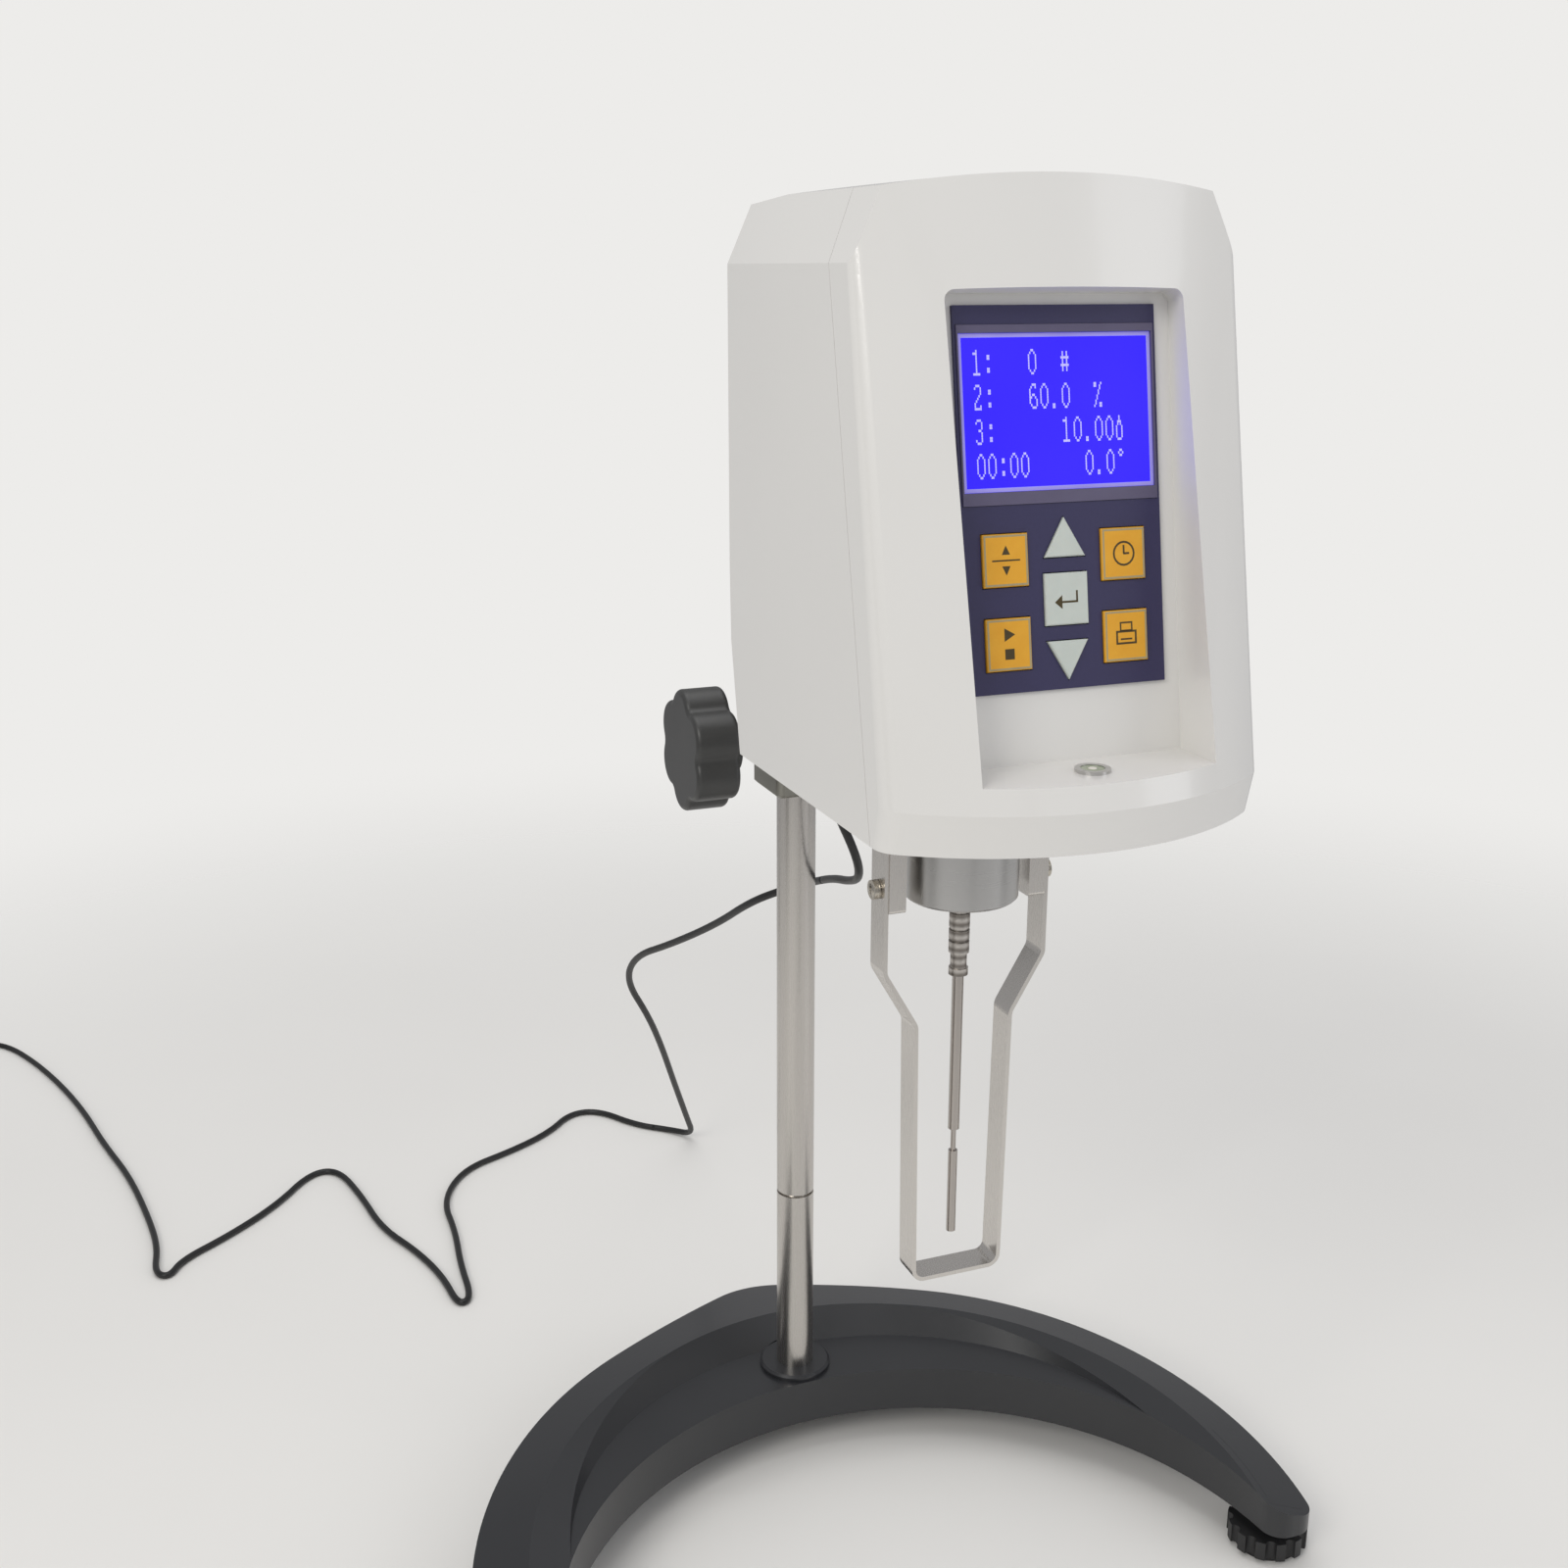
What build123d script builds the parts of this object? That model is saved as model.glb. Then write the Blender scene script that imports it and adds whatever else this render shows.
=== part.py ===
from build123d import *
from math import acos, asin, atan, cos, degrees, hypot, pi, radians, sin, sqrt, tan
import os

# Rotational viscometer on a horseshoe stand.
# Millimetres, +Z up, the head faces -Y. The model is drawn about the column's axis, with the bench
# at z = 0, and each piece is then moved so that the origin is the centre of the object's footprint.

# ---------------------------------------------------------------- driving dimensions: stand
FOOT_LIFT = 15.0            # underside of the casting above the bench
FLOOR_Z = 35.0              # floor of the crescent recess
RIM_Z = 45.0                # crest of the rim behind the column
RIM_TILT = 5.0              # the top falls towards the arms, degrees
BEVEL_FALL = 18.0           # outer bevel of the rim, degrees
OUTER_R = 168.0             # outside of the horseshoe
OUTER_REACH = 46.0          # its rear, behind the column
INNER_STEP = 23.0           # radius of the inside less than OUTER_R
INNER_REACH = 16.5          # from the column's axis to the inside wall
NOSE_REACH = 67.0           # where the two straight flanks would meet behind the column
NOSE_ROUND = 32.0
BEVEL_STEP = 22.0           # radius of the bevel's inner edge less than OUTER_R
RECESS_STEP = 39.0          # radius of the crescent recess's floor less than OUTER_R
RECESS_REACH = 13.0         # its rear, behind the column
RECESS_TOP_STEP = 40.5      # the same at RECESS_TOP_Z
RECESS_TOP_REACH = 29.5
RECESS_TOP_Z = 47.0
ARM_PAST = 35.0             # front end of the arms past the centre of the outside
ARM_ROUND = 9.0
CAST_WALL = 6.0
CAST_ROOF = 7.0             # metal left above the hollow underside, below the recess floor
BOSS_R = 11.0               # bosses round the foot threads

FOOT_D = 32.0
FOOT_H = 8.0
FOOT_PAD_D = 26.0
FOOT_PAD_H = 2.0            # low boss that the foot stands on
FOOT_STUD_D = 8.0
FOOT_STUD_REACH = 11.0      # stud inside the casting
FOOT_FRONT_INSET = 18.0     # front feet behind the ends of the arms
FOOT_REAR_REACH = 37.0      # rear foot behind the column
FOOT_LOBES = 12

COLUMN_D = 16.0
COLUMN_JOINT_Z = 122.0
COLUMN_TOP_Z = 432.0
JOINT_GROOVE = 1.2
JOINT_NECK_D = 13.0
STUD_D = 8.0
STUD_REACH = 14.0
COLUMN_TAIL_D = 10.0
SOCKET_D = 31.0
SOCKET_RISE = 2.5
SOCKET_SPIGOT_D = 21.0
SOCKET_DEPTH = 8.0
NUT_AF = 17.0
NUT_H = 6.0
WASHER_D = 22.0
WASHER_H = 1.6
COLUMN_CROWN_R = 3.0

# ---------------------------------------------------------------- driving dimensions: clamp and arm
BLOCK_W = 28.0
BLOCK_FRONT = 16.0
BLOCK_BACK = 14.0
BLOCK_Z = 303.4
BLOCK_H = 84.0
BLOCK_EDGE = 1.2
LINER_WALL = 2.0
LINER_SLIT = 2.0
KNOB_Z = 323.0
KNOB_D = 49.0
KNOB_T = 18.0
KNOB_LOBES = 6
KNOB_LOBE_R = 10.5
KNOB_NOTCH_R = 4.0          # rounding between two lobes
KNOB_EDGE_R = 2.2
KNOB_STAND_OFF = 17.5       # from the block's side to the knob
KNOB_HUB_D = 20.0
KNOB_STUD_D = 8.0
ARM_Z = 371.5
ARM_D = 18.0
ARM_FLANGE_D = 28.0
ARM_FLANGE_T = 7.0
ARM_TAIL_D = 12.0
ARM_NUT_AF = 18.0
ARM_NUT_T = 6.0
ARM_SCREW_D = 3.0
ARM_SCREW_PCD = 22.6

# ---------------------------------------------------------------- driving dimensions: head
SPINDLE_REACH = 149.0       # spindle axis in front of the column
HEAD_W = 122.0
HEAD_Z = 348.5
SHOULDER_Z = 507.0          # where the side bevels start
CROWN_EDGE_Z = 527.0
CROWN_Z = 531.0
CROWN_HALF_W = 52.0
BACK_BEHIND = 55.0          # back of the head behind the spindle's axis
BACK_FOOT_BEHIND = 46.0
BACK_KNEE_Z = 386.0
CHIN_Z = 361.5
FACE_TOP_AHEAD = 49.0       # top of the face ahead of the spindle's axis
FACE_TOP_SAG = 9.0
FACE_RAKE = 45.5            # the face's foot ahead of its top
FACE_LOW_SAG = 22.0
CHIN_UNDERCUT = 3.5
CORNER_TOP_R = 4.0
CORNER_LOW_R = 9.0
HEAD_WALL = 3.0
SEAM_SETBACK = 20.0         # seam behind the face's top, at the shoulder's height
SEAM_LEAN = 12.0
SEAM_GAP = 0.3
LIP = 2.5
LIP_CLEAR = 0.1
HEAD_SCREW_X = 50.0
HEAD_SCREW_LOW_Z = 404.0
HEAD_SCREW_HIGH_Z = 500.0
HEAD_SCREW_D = 3.0
HEAD_BOSS_D = 8.0

# ---------------------------------------------------------------- driving dimensions: panel
PANEL_TILT = 9.3
PANEL_FORWARD = 2.8         # panel's face ahead of the face's top, at the LCD's centre
LCD_Z = 467.0
PANEL_W = 64.0
PANEL_H = 107.6
PANEL_T = 1.2
PANEL_DROP = 24.5           # panel's centre below the LCD's centre, along the panel
RECESS_HALF_W = 37.5
RECESS_TOP = 3.2            # recess floor beyond the panel's top edge
RECESS_ROUND = 3.0
LEDGE_Z = 369.0
LCD_W = 61.4
LCD_H = 43.6
LCD_SIDE = 0.5
LCD_TOP_STRIP = 2.2
LCD_LOW_STRIP = 3.6
MAIN_BOARD_GAP = 14.0
LCD_BOARD_W = 78.0
LCD_BOARD_H = 70.0
BOARD_T = 1.6
KEY_W = 14.2
KEY_H = 14.8
KEY_PITCH_X = 19.0
KEY_PITCH_V = 11.8
KEY_CENTRE_V = -28.1
KEY_MID = 13.8
TRI_HALF_W = 6.5
TRI_H = 11.1
TRI_NEAR = 11.9             # from the middle key's centre to the triangle's base
KEY_PROUD = 0.9
KEY_TRAVEL = 0.6
KEY_GAP = 0.3
KEY_FLANGE = 0.9
LEVEL_D = 10.4
LEVEL_BODY_D = 8.6
LEVEL_H = 6.0

# ---------------------------------------------------------------- driving dimensions: measuring system
CUP_D = 38.2
CUP_Z = 306.0
CUP_WALL = 3.0
CUP_FLANGE_D = 50.0
CUP_FLANGE_T = 3.0
CUP_MOUTH_D = 9.0
PLATE_T = 4.0
PLATE_W = 92.0
PLATE_FRONT = 30.0          # plates in front of the spindle's axis
CHASSIS_GAP = 10.0          # behind the chassis, to the rear wall
POST_INSET = 5.0
POST_D = 8.0
POST_H = 71.0
POST_X = 36.0
BRACKET_H = 44.0
BRACKET_T = 3.0
BRACKET_W = 60.0
MOTOR_W = 42.0
MOTOR_H = 34.0
MOTOR_SHAFT_D = 5.0
SHAFT_D = 4.0
DISC_D = 42.0
DISC_T = 1.0
DISC_SLOTS = 20
LOW_DISC_Z = 375.5
HIGH_DISC_Z = 389.5
SLEEVE_D = 14.0
SLEEVE_TOP_Z = 423.5
SPRING_Z = 380.5
SPRING_H = 2.0
SPRING_T = 0.5
SPRING_PITCH = 1.5
SPRING_IN_R = 4.4
SPRING_HALF_TURNS = 10
BEARING_Z = 326.0
BEARING_H = 8.0
COUPLING_D = 7.0
COUPLING_Z = 277.7
COUPLING_H = 27.5
SHANK_D = 3.9
SHANK_LOW_Z = 220.5
NECK_D = 1.8
ROTOR_TOP_Z = 212.2
ROTOR_D = 3.2
ROTOR_TIP_Z = 181.2

# ---------------------------------------------------------------- driving dimensions: guard
STRIP_W = 10.5
STRIP_T = 1.5
GUARD_TOP_Z = 346.5
GUARD_UPPER_HALF = 30.0
GUARD_LOWER_HALF = 18.3
GUARD_TIP_HALF = 17.0       # the legs draw in towards the crosspiece
GUARD_BEND_HIGH_Z = 283.0
GUARD_BEND_LOW_Z = 263.0
GUARD_LOW_Z = 166.5
GUARD_CORNER_R = 4.0
GUARD_BEND_R = 5.0
LUG_T = 6.0
LUG_Z = 304.0
LUG_SPIGOT_D = 5.0
GUARD_SCREW_Z = 311.5
GUARD_SCREW_D = 3.0
GUARD_SCREW_HEAD_D = 6.5
GUARD_SCREW_HEAD_H = 2.4

# ---------------------------------------------------------------- driving dimensions: rear and cord
JACK_X = -24.0
JACK_Z = 412.0
JACK_D = 12.0
PLUG_D = 5.5
PLUG_BODY_D = 9.6
PLUG_BODY_L = 24.0
SWITCH_X = 34.0
SWITCH_Z = 446.0
SWITCH_W = 13.0
SWITCH_H = 19.0
ROCKER_TILT = 8.0
PORT_X = -4.0
PORT_Z = 450.0
PORT_PITCH = 25.0
PROBE_X = -38.0
PROBE_Z = 450.0
PROBE_D = 16.0
CORD_D = 3.4
BENCH_GAP = 0.05
COIL_X = -384.0
COIL_Y = 566.0
COIL_R = 19.0
COIL_TURNS_ACROSS = 2
COIL_LAYERS = 2
TIE_W = 5.0
TIE_T = 0.8
ADAPTOR_W = 38.0
ADAPTOR_L = 66.0
ADAPTOR_H = 29.0
ADAPTOR_SIDE = 73.0         # adaptor beside the coil, centre to centre
ADAPTOR_BOSS = 7.0
ADAPTOR_CORD_Z = 7.0        # the lead leaves the case this high above the bench
PIN_PITCH = 12.7
PIN_W = 6.35
PIN_T = 1.5
PIN_L = 16.0

# ---------------------------------------------------------------- fits and clearances
SEAT = 0.02                 # radial, pieces that are fixed in a hole
RUN = 0.05                  # radial, pieces that turn or slide in a hole
LOOSE = 0.3                 # between pieces that pass each other
SCREW_CLEAR = 0.2

PARTS = {}


def add(name, shape):
    PARTS[name] = shape


def rod(d, low, high, x=0.0, y=0.0):
    return Pos(x, y, (low + high) / 2) * Cylinder(d / 2, high - low)


def rod_y(d, near, far, x, z):
    """A round bar along Y, from y = near to y = far."""
    return Pos(x, (near + far) / 2, z) * Rot(90, 0, 0) * Cylinder(d / 2, abs(far - near))


def rod_x(d, left, right, y, z):
    return Pos((left + right) / 2, y, z) * Rot(0, 90, 0) * Cylinder(d / 2, abs(right - left))


def block(x0, x1, y0, y1, z0, z1):
    return Pos((x0 + x1) / 2, (y0 + y1) / 2, (z0 + z1) / 2) * Box(x1 - x0, y1 - y0, z1 - z0)


def hexagon(across_flats, low, high, x=0.0, y=0.0):
    return Pos(x, y, low) * extrude(RegularPolygon(across_flats / sqrt(3), 6), high - low)


def outline(points):
    return make_face(Polyline(*points, close=True))


# ---------------------------------------------------------------- stand
inner_r = OUTER_R - INNER_STEP
bevel_r = OUTER_R - BEVEL_STEP
recess_r = OUTER_R - RECESS_STEP
recess_top_r = OUTER_R - RECESS_TOP_STEP
inner_y = -(INNER_REACH + inner_r)
outer_y = OUTER_REACH - OUTER_R
arm_end = ARM_PAST - outer_y
arm_foot_y = -(arm_end - FOOT_FRONT_INSET)
arm_inner_x = sqrt(inner_r**2 - (arm_foot_y - inner_y) ** 2)
arm_outer_x = sqrt(OUTER_R**2 - (arm_foot_y - outer_y) ** 2)
arm_foot_x = (arm_inner_x + arm_outer_x) / 2
FEET = {
    "foot_front_left": (-arm_foot_x, arm_foot_y),
    "foot_front_right": (arm_foot_x, arm_foot_y),
    "foot_rear": (0.0, FOOT_REAR_REACH),
}
web_z = FLOOR_Z - SOCKET_DEPTH
nut_pocket_z = web_z - 3.0


def base_outline():
    """Horseshoe seen from above: a round outside with a blunt nose, and a round inside."""
    nose = NOSE_REACH - outer_y
    tangent = acos(OUTER_R / nose)
    tx = OUTER_R * sin(tangent)
    ty = outer_y + OUTER_R * cos(tangent)
    flanks = outline([(0, NOSE_REACH), (tx, ty), (0, outer_y), (-tx, ty)])
    face = Pos(0, outer_y) * Circle(OUTER_R) + flanks
    face = fillet(face.vertices().sort_by(Axis.Y)[-1], NOSE_ROUND)
    face -= Pos(0, inner_y) * Circle(inner_r)
    face -= Pos(0, -arm_end - OUTER_R) * Rectangle(3 * OUTER_R, 2 * OUTER_R)
    ends = [v for v in face.vertices() if abs(v.Y + arm_end) < 0.01]
    return fillet(ends, ARM_ROUND)


def base_body():
    face = base_outline()
    body = Pos(0, 0, FOOT_LIFT) * extrude(face, RIM_Z + 10 - FOOT_LIFT)
    fall = 30.0
    skirt = bevel_r + fall / tan(radians(BEVEL_FALL))
    rim_back = outer_y + bevel_r
    roof = Pos(0, outer_y - rim_back, -fall / 2) * Cone(skirt, bevel_r, fall)
    roof += Pos(0, outer_y - rim_back, -fall - 30) * Cylinder(skirt, 60)
    body &= Pos(0, rim_back, RIM_Z) * Rot(RIM_TILT, 0, 0) * roof
    body -= loft([Pos(0, RECESS_REACH - recess_r, FLOOR_Z) * Circle(recess_r),
                  Pos(0, RECESS_TOP_REACH - recess_top_r, RECESS_TOP_Z) * Circle(recess_top_r)])
    hollow = offset(face, amount=-CAST_WALL, kind=Kind.INTERSECTION)
    hollow -= Circle(SOCKET_D / 2 + 1)
    for x, y in FEET.values():
        hollow -= Pos(x, y) * Circle(BOSS_R)
    body -= Pos(0, 0, FOOT_LIFT) * extrude(hollow, FLOOR_Z - CAST_ROOF - FOOT_LIFT)
    body -= rod(SOCKET_D + 1.0, FLOOR_Z, RIM_Z + 5)
    body -= rod(SOCKET_SPIGOT_D + 2 * SEAT, web_z, FLOOR_Z)
    body -= rod(COLUMN_TAIL_D + 0.5, FOOT_LIFT, web_z)
    body -= rod(WASHER_D + 1.0, FOOT_LIFT, nut_pocket_z)
    for x, y in FEET.values():
        body -= rod(FOOT_STUD_D + 2 * RUN, FOOT_LIFT, FOOT_LIFT + FOOT_STUD_REACH + 1, x, y)
    return body


def foot(x, y):
    """Levelling foot: a scalloped disc on a threaded stud, standing on a low round pad."""
    disc = Circle(FOOT_D / 2)
    for i in range(FOOT_LOBES):
        a = 2 * pi * i / FOOT_LOBES
        disc -= Pos(FOOT_D / 2 * cos(a), FOOT_D / 2 * sin(a)) * Circle(2.2)
    body = Pos(0, 0, FOOT_PAD_H) * extrude(disc, FOOT_H)
    body += rod(FOOT_STUD_D, FOOT_PAD_H + FOOT_H, FOOT_LIFT + FOOT_STUD_REACH)
    body += rod(FOOT_PAD_D, 0, FOOT_PAD_H)
    return Pos(x, y) * body


add("base_body", base_body())
for name, (fx, fy) in FEET.items():
    add(name, foot(fx, fy))

socket = rod(SOCKET_D, FLOOR_Z, FLOOR_Z + SOCKET_RISE) + rod(SOCKET_SPIGOT_D, web_z, FLOOR_Z)
socket = chamfer(socket.edges().filter_by(GeomType.CIRCLE).sort_by(Axis.Z)[-1], 1.0)
add("column_socket", socket - rod(COLUMN_D + 2 * SEAT, web_z, FLOOR_Z + SOCKET_RISE))

lower = rod(COLUMN_D, web_z, COLUMN_JOINT_Z - JOINT_GROOVE)
lower += rod(JOINT_NECK_D, COLUMN_JOINT_Z - JOINT_GROOVE, COLUMN_JOINT_Z)
lower += rod(COLUMN_TAIL_D, nut_pocket_z - WASHER_H - NUT_H - 0.5, web_z)
lower -= rod(STUD_D + 2 * SEAT, COLUMN_JOINT_Z - STUD_REACH, COLUMN_JOINT_Z)
add("column_lower", lower)
upper = rod(COLUMN_D, COLUMN_JOINT_Z, COLUMN_TOP_Z)
upper = fillet(upper.edges().sort_by(Axis.Z)[-1], COLUMN_CROWN_R)
add("column_upper", upper + rod(STUD_D, COLUMN_JOINT_Z - STUD_REACH + 1, COLUMN_JOINT_Z))
washer_z = nut_pocket_z - WASHER_H
washer = rod(WASHER_D, washer_z, nut_pocket_z) - rod(COLUMN_TAIL_D + 0.4, washer_z, nut_pocket_z)
nut = hexagon(NUT_AF, washer_z - NUT_H, washer_z)
nut -= rod(COLUMN_TAIL_D + 2 * SEAT, washer_z - NUT_H, washer_z)
add("column_nut", Compound(children=[nut, washer]))

# ---------------------------------------------------------------- clamp, knob and arm
liner_d = COLUMN_D + 2 * RUN + 2 * LINER_WALL
block_top = BLOCK_Z + BLOCK_H
liner = rod(liner_d, BLOCK_Z, block_top) - rod(COLUMN_D + 2 * RUN, BLOCK_Z, block_top)
liner -= block(-LINER_SLIT / 2, LINER_SLIT / 2, 0, liner_d, BLOCK_Z, block_top)
add("clamp_liner", liner)

clamp = block(-BLOCK_W / 2, BLOCK_W / 2, -BLOCK_FRONT, BLOCK_BACK, BLOCK_Z, block_top)
clamp = fillet(clamp.edges().filter_by(Axis.Z), 3.0)
clamp = chamfer(clamp.faces().sort_by(Axis.Z)[-1].edges(), BLOCK_EDGE)
clamp = chamfer(clamp.faces().sort_by(Axis.Z)[0].edges(), BLOCK_EDGE)
clamp -= rod(liner_d + 2 * RUN, BLOCK_Z, block_top)
clamp -= rod_x(KNOB_STUD_D + 2 * RUN, -BLOCK_W, 0, 0, KNOB_Z)
arm_screw_r = ARM_SCREW_PCD / 2
ARM_SCREWS = [(sx * arm_screw_r * cos(pi / 4), sz * arm_screw_r * cos(pi / 4))
              for sx in (-1, 1) for sz in (-1, 1)]
for sx, sz in ARM_SCREWS:
    clamp -= rod_y(ARM_SCREW_D + 2 * SEAT, -BLOCK_FRONT, -BLOCK_FRONT + 6, sx, ARM_Z + sz)
add("clamp_block", clamp)

knob_in = -BLOCK_W / 2 - KNOB_STAND_OFF
knob_out = knob_in - KNOB_T


def knob():
    """Lobed hand knob, turned about X, with a boss towards the block."""
    face = Circle(KNOB_D / 2 - KNOB_LOBE_R)
    for i in range(KNOB_LOBES):
        a = 2 * pi * i / KNOB_LOBES
        r = KNOB_D / 2 - KNOB_LOBE_R
        face += Pos(r * cos(a), r * sin(a)) * Circle(KNOB_LOBE_R)
    face = fillet(face.vertices(), KNOB_NOTCH_R)
    body = extrude(face, KNOB_T)
    body = fillet(body.faces().sort_by(Axis.Z)[-1].edges(), KNOB_EDGE_R)
    body = fillet(body.faces().sort_by(Axis.Z)[0].edges(), KNOB_EDGE_R)
    body += Pos(0, 0, -2.5) * Cylinder(KNOB_HUB_D / 2, 5)
    body = Pos(knob_in, 0, KNOB_Z) * Rot(0, -90, 0) * body
    return body + rod_x(KNOB_STUD_D, knob_in - 1, -liner_d / 2 - LOOSE, 0, KNOB_Z)


add("clamp_knob", knob())

# the head's back and face, and the chassis levels on the spindle's axis
back_reach = SPINDLE_REACH - BACK_BEHIND
back_foot_reach = SPINDLE_REACH - BACK_FOOT_BEHIND
face_top_reach = SPINDLE_REACH + FACE_TOP_AHEAD
axis_y = -SPINDLE_REACH
flange_z = HEAD_Z + HEAD_WALL
plate_z = flange_z + CUP_FLANGE_T
post_z = plate_z + PLATE_T
upper_z = post_z + POST_H
motor_z = upper_z + PLATE_T
arm_far = -back_foot_reach - HEAD_WALL - CHASSIS_GAP
bracket_y = arm_far - BRACKET_T

arm = rod_y(ARM_D, arm_far, -BLOCK_FRONT - ARM_FLANGE_T, 0, ARM_Z)
arm += rod_y(ARM_FLANGE_D, -BLOCK_FRONT - ARM_FLANGE_T, -BLOCK_FRONT, 0, ARM_Z)
arm += rod_y(ARM_TAIL_D, arm_far - BRACKET_T - ARM_NUT_T - 1, arm_far, 0, ARM_Z)
heads = []
for sx, sz in ARM_SCREWS:
    arm -= rod_y(ARM_SCREW_D + 2 * SCREW_CLEAR, -BLOCK_FRONT - ARM_FLANGE_T, -BLOCK_FRONT, sx, ARM_Z + sz)
    shank = rod_y(ARM_SCREW_D, -BLOCK_FRONT - ARM_FLANGE_T, -BLOCK_FRONT + 5, sx, ARM_Z + sz)
    y_head = -BLOCK_FRONT - ARM_FLANGE_T
    heads.append(shank + rod_y(4.6, y_head - 3, y_head, sx * 1.0, ARM_Z + sz))
ARM_HEAD_CLEAR = 5.2
for sx, sz in ARM_SCREWS:
    y_head = -BLOCK_FRONT - ARM_FLANGE_T
    arm -= rod_y(ARM_HEAD_CLEAR, y_head - 3.2, y_head, sx, ARM_Z + sz)
add("arm_rod", arm)

bracket = block(-BRACKET_W / 2, BRACKET_W / 2, bracket_y, arm_far, post_z, post_z + BRACKET_H)
bracket -= rod_y(ARM_TAIL_D + 2 * SEAT, bracket_y, arm_far, 0, ARM_Z)
arm_nut = extrude(RegularPolygon(ARM_NUT_AF / sqrt(3), 6), ARM_NUT_T)
arm_nut -= Pos(0, 0, ARM_NUT_T / 2) * Cylinder(ARM_TAIL_D / 2 + SEAT, ARM_NUT_T)
add("arm_fasteners", Compound(children=heads + [Pos(0, bracket_y, ARM_Z) * Rot(90, 0, 0) * arm_nut]))

# ---------------------------------------------------------------- head form
FACE_TOP_SKETCH_Z = CROWN_Z + 9.0
face_low_reach = face_top_reach + FACE_RAKE
seam_reach = face_top_reach - SEAM_SETBACK
panel_reach = face_top_reach + PANEL_FORWARD


def face_at(z):
    """Reach and sag of the front at height z, straight between crown and chin."""
    t = (CROWN_Z - z) / (CROWN_Z - CHIN_Z)
    reach = face_top_reach + t * (face_low_reach - face_top_reach)
    return reach, FACE_TOP_SAG + t * (FACE_LOW_SAG - FACE_TOP_SAG)


def plan_section(z, reach, sag, inset, corner):
    half = HEAD_W / 2 - inset
    front = -reach + inset
    side = front + sag
    back = 20.0
    line = Polyline((half, side), (half, back), (-half, back), (-half, side))
    arc = ThreePointArc((-half, side), (0, front), (half, side))
    face = make_face(line + arc)
    corners = face.vertices().sort_by(Axis.Y)[:2]
    return Pos(0, 0, z) * fillet(corners, max(corner - inset, 1.0))


def head_form(inset):
    """Outer form of the head with every wall moved in by inset."""
    top_reach, top_sag = face_at(FACE_TOP_SKETCH_Z)
    upper_form = loft([plan_section(FACE_TOP_SKETCH_Z, top_reach, top_sag, inset, CORNER_TOP_R),
                       plan_section(CHIN_Z, face_low_reach, FACE_LOW_SAG, inset, CORNER_LOW_R)], ruled=True)
    chin = loft([plan_section(CHIN_Z, face_low_reach, FACE_LOW_SAG, inset, CORNER_LOW_R),
                 plan_section(HEAD_Z - 1, face_low_reach - CHIN_UNDERCUT, FACE_LOW_SAG, inset,
                              CORNER_LOW_R)], ruled=True)
    side = outline([(-300, HEAD_Z), (-back_foot_reach, HEAD_Z), (-back_reach - 1, BACK_KNEE_Z),
                    (-back_reach, BACK_KNEE_Z + 25), (-back_reach, CROWN_EDGE_Z - 2),
                    (-face_top_reach, CROWN_Z + 1), (-300, CROWN_Z + 3)])
    low = HEAD_Z - 5
    crown = ThreePointArc((-CROWN_HALF_W, CROWN_EDGE_Z), (0, CROWN_Z), (CROWN_HALF_W, CROWN_EDGE_Z))
    rear = make_face(Polyline((CROWN_HALF_W, CROWN_EDGE_Z), (HEAD_W / 2, SHOULDER_Z), (HEAD_W / 2, low),
                              (-HEAD_W / 2, low), (-HEAD_W / 2, SHOULDER_Z),
                              (-CROWN_HALF_W, CROWN_EDGE_Z)) + crown)
    if inset > 0:
        side = offset(side, amount=-inset, kind=Kind.INTERSECTION)
        rear = offset(rear, amount=-inset, kind=Kind.INTERSECTION)
    profile = extrude(Plane.YZ * side, HEAD_W, both=True)
    front_view = extrude(Plane.XZ * rear, 320, both=True)
    return (upper_form + chin) & profile & front_view


seam_plane = Plane(origin=(0, -seam_reach, SHOULDER_Z), x_dir=(1, 0, 0),
                   z_dir=(0, -cos(radians(SEAM_LEAN)), sin(radians(SEAM_LEAN))))


def ahead_of_seam(shift):
    """Everything in front of the seam plane moved forward by shift."""
    return seam_plane * (Pos(0, 0, 150 + shift) * Box(400, 600, 300))


panel_plane = Plane(origin=(0, -panel_reach, LCD_Z), x_dir=(1, 0, 0),
                    z_dir=(0, -cos(radians(PANEL_TILT)), sin(radians(PANEL_TILT))))


def on_panel(shape, x=0.0, v=0.0, h=0.0):
    """Places a shape by x, height along the panel and height above its face."""
    return panel_plane * (Pos(x, v - PANEL_DROP, h) * shape)


seat_h = -PANEL_T
back_h = seat_h - 2.5
recess_top_v = PANEL_H / 2 + RECESS_TOP


def recess_prism(grow, h0, h1):
    """Recess outline grown by a wall, between two heights above the panel, with a level ledge."""
    low_v = -120.0
    face = Rectangle(2 * (RECESS_HALF_W + grow), recess_top_v + grow - low_v)
    face = Pos(0, (recess_top_v + grow + low_v) / 2) * fillet(face.vertices(), RECESS_ROUND + grow)
    solid = on_panel(extrude(face, h1 - h0), 0, 0, h0)
    ledge = LEDGE_Z - grow
    return solid & block(-100, 100, -400, 0, ledge, ledge + 300)


outer_form = head_form(0.0)
cavity_form = head_form(HEAD_WALL)
lip_form = head_form(HEAD_WALL / 2)

KEYS = {
    "key_run_stop": (-KEY_PITCH_X, -KEY_PITCH_V),
    "key_select": (-KEY_PITCH_X, KEY_PITCH_V),
    "key_timer": (KEY_PITCH_X, KEY_PITCH_V),
    "key_print": (KEY_PITCH_X, -KEY_PITCH_V),
}


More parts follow.
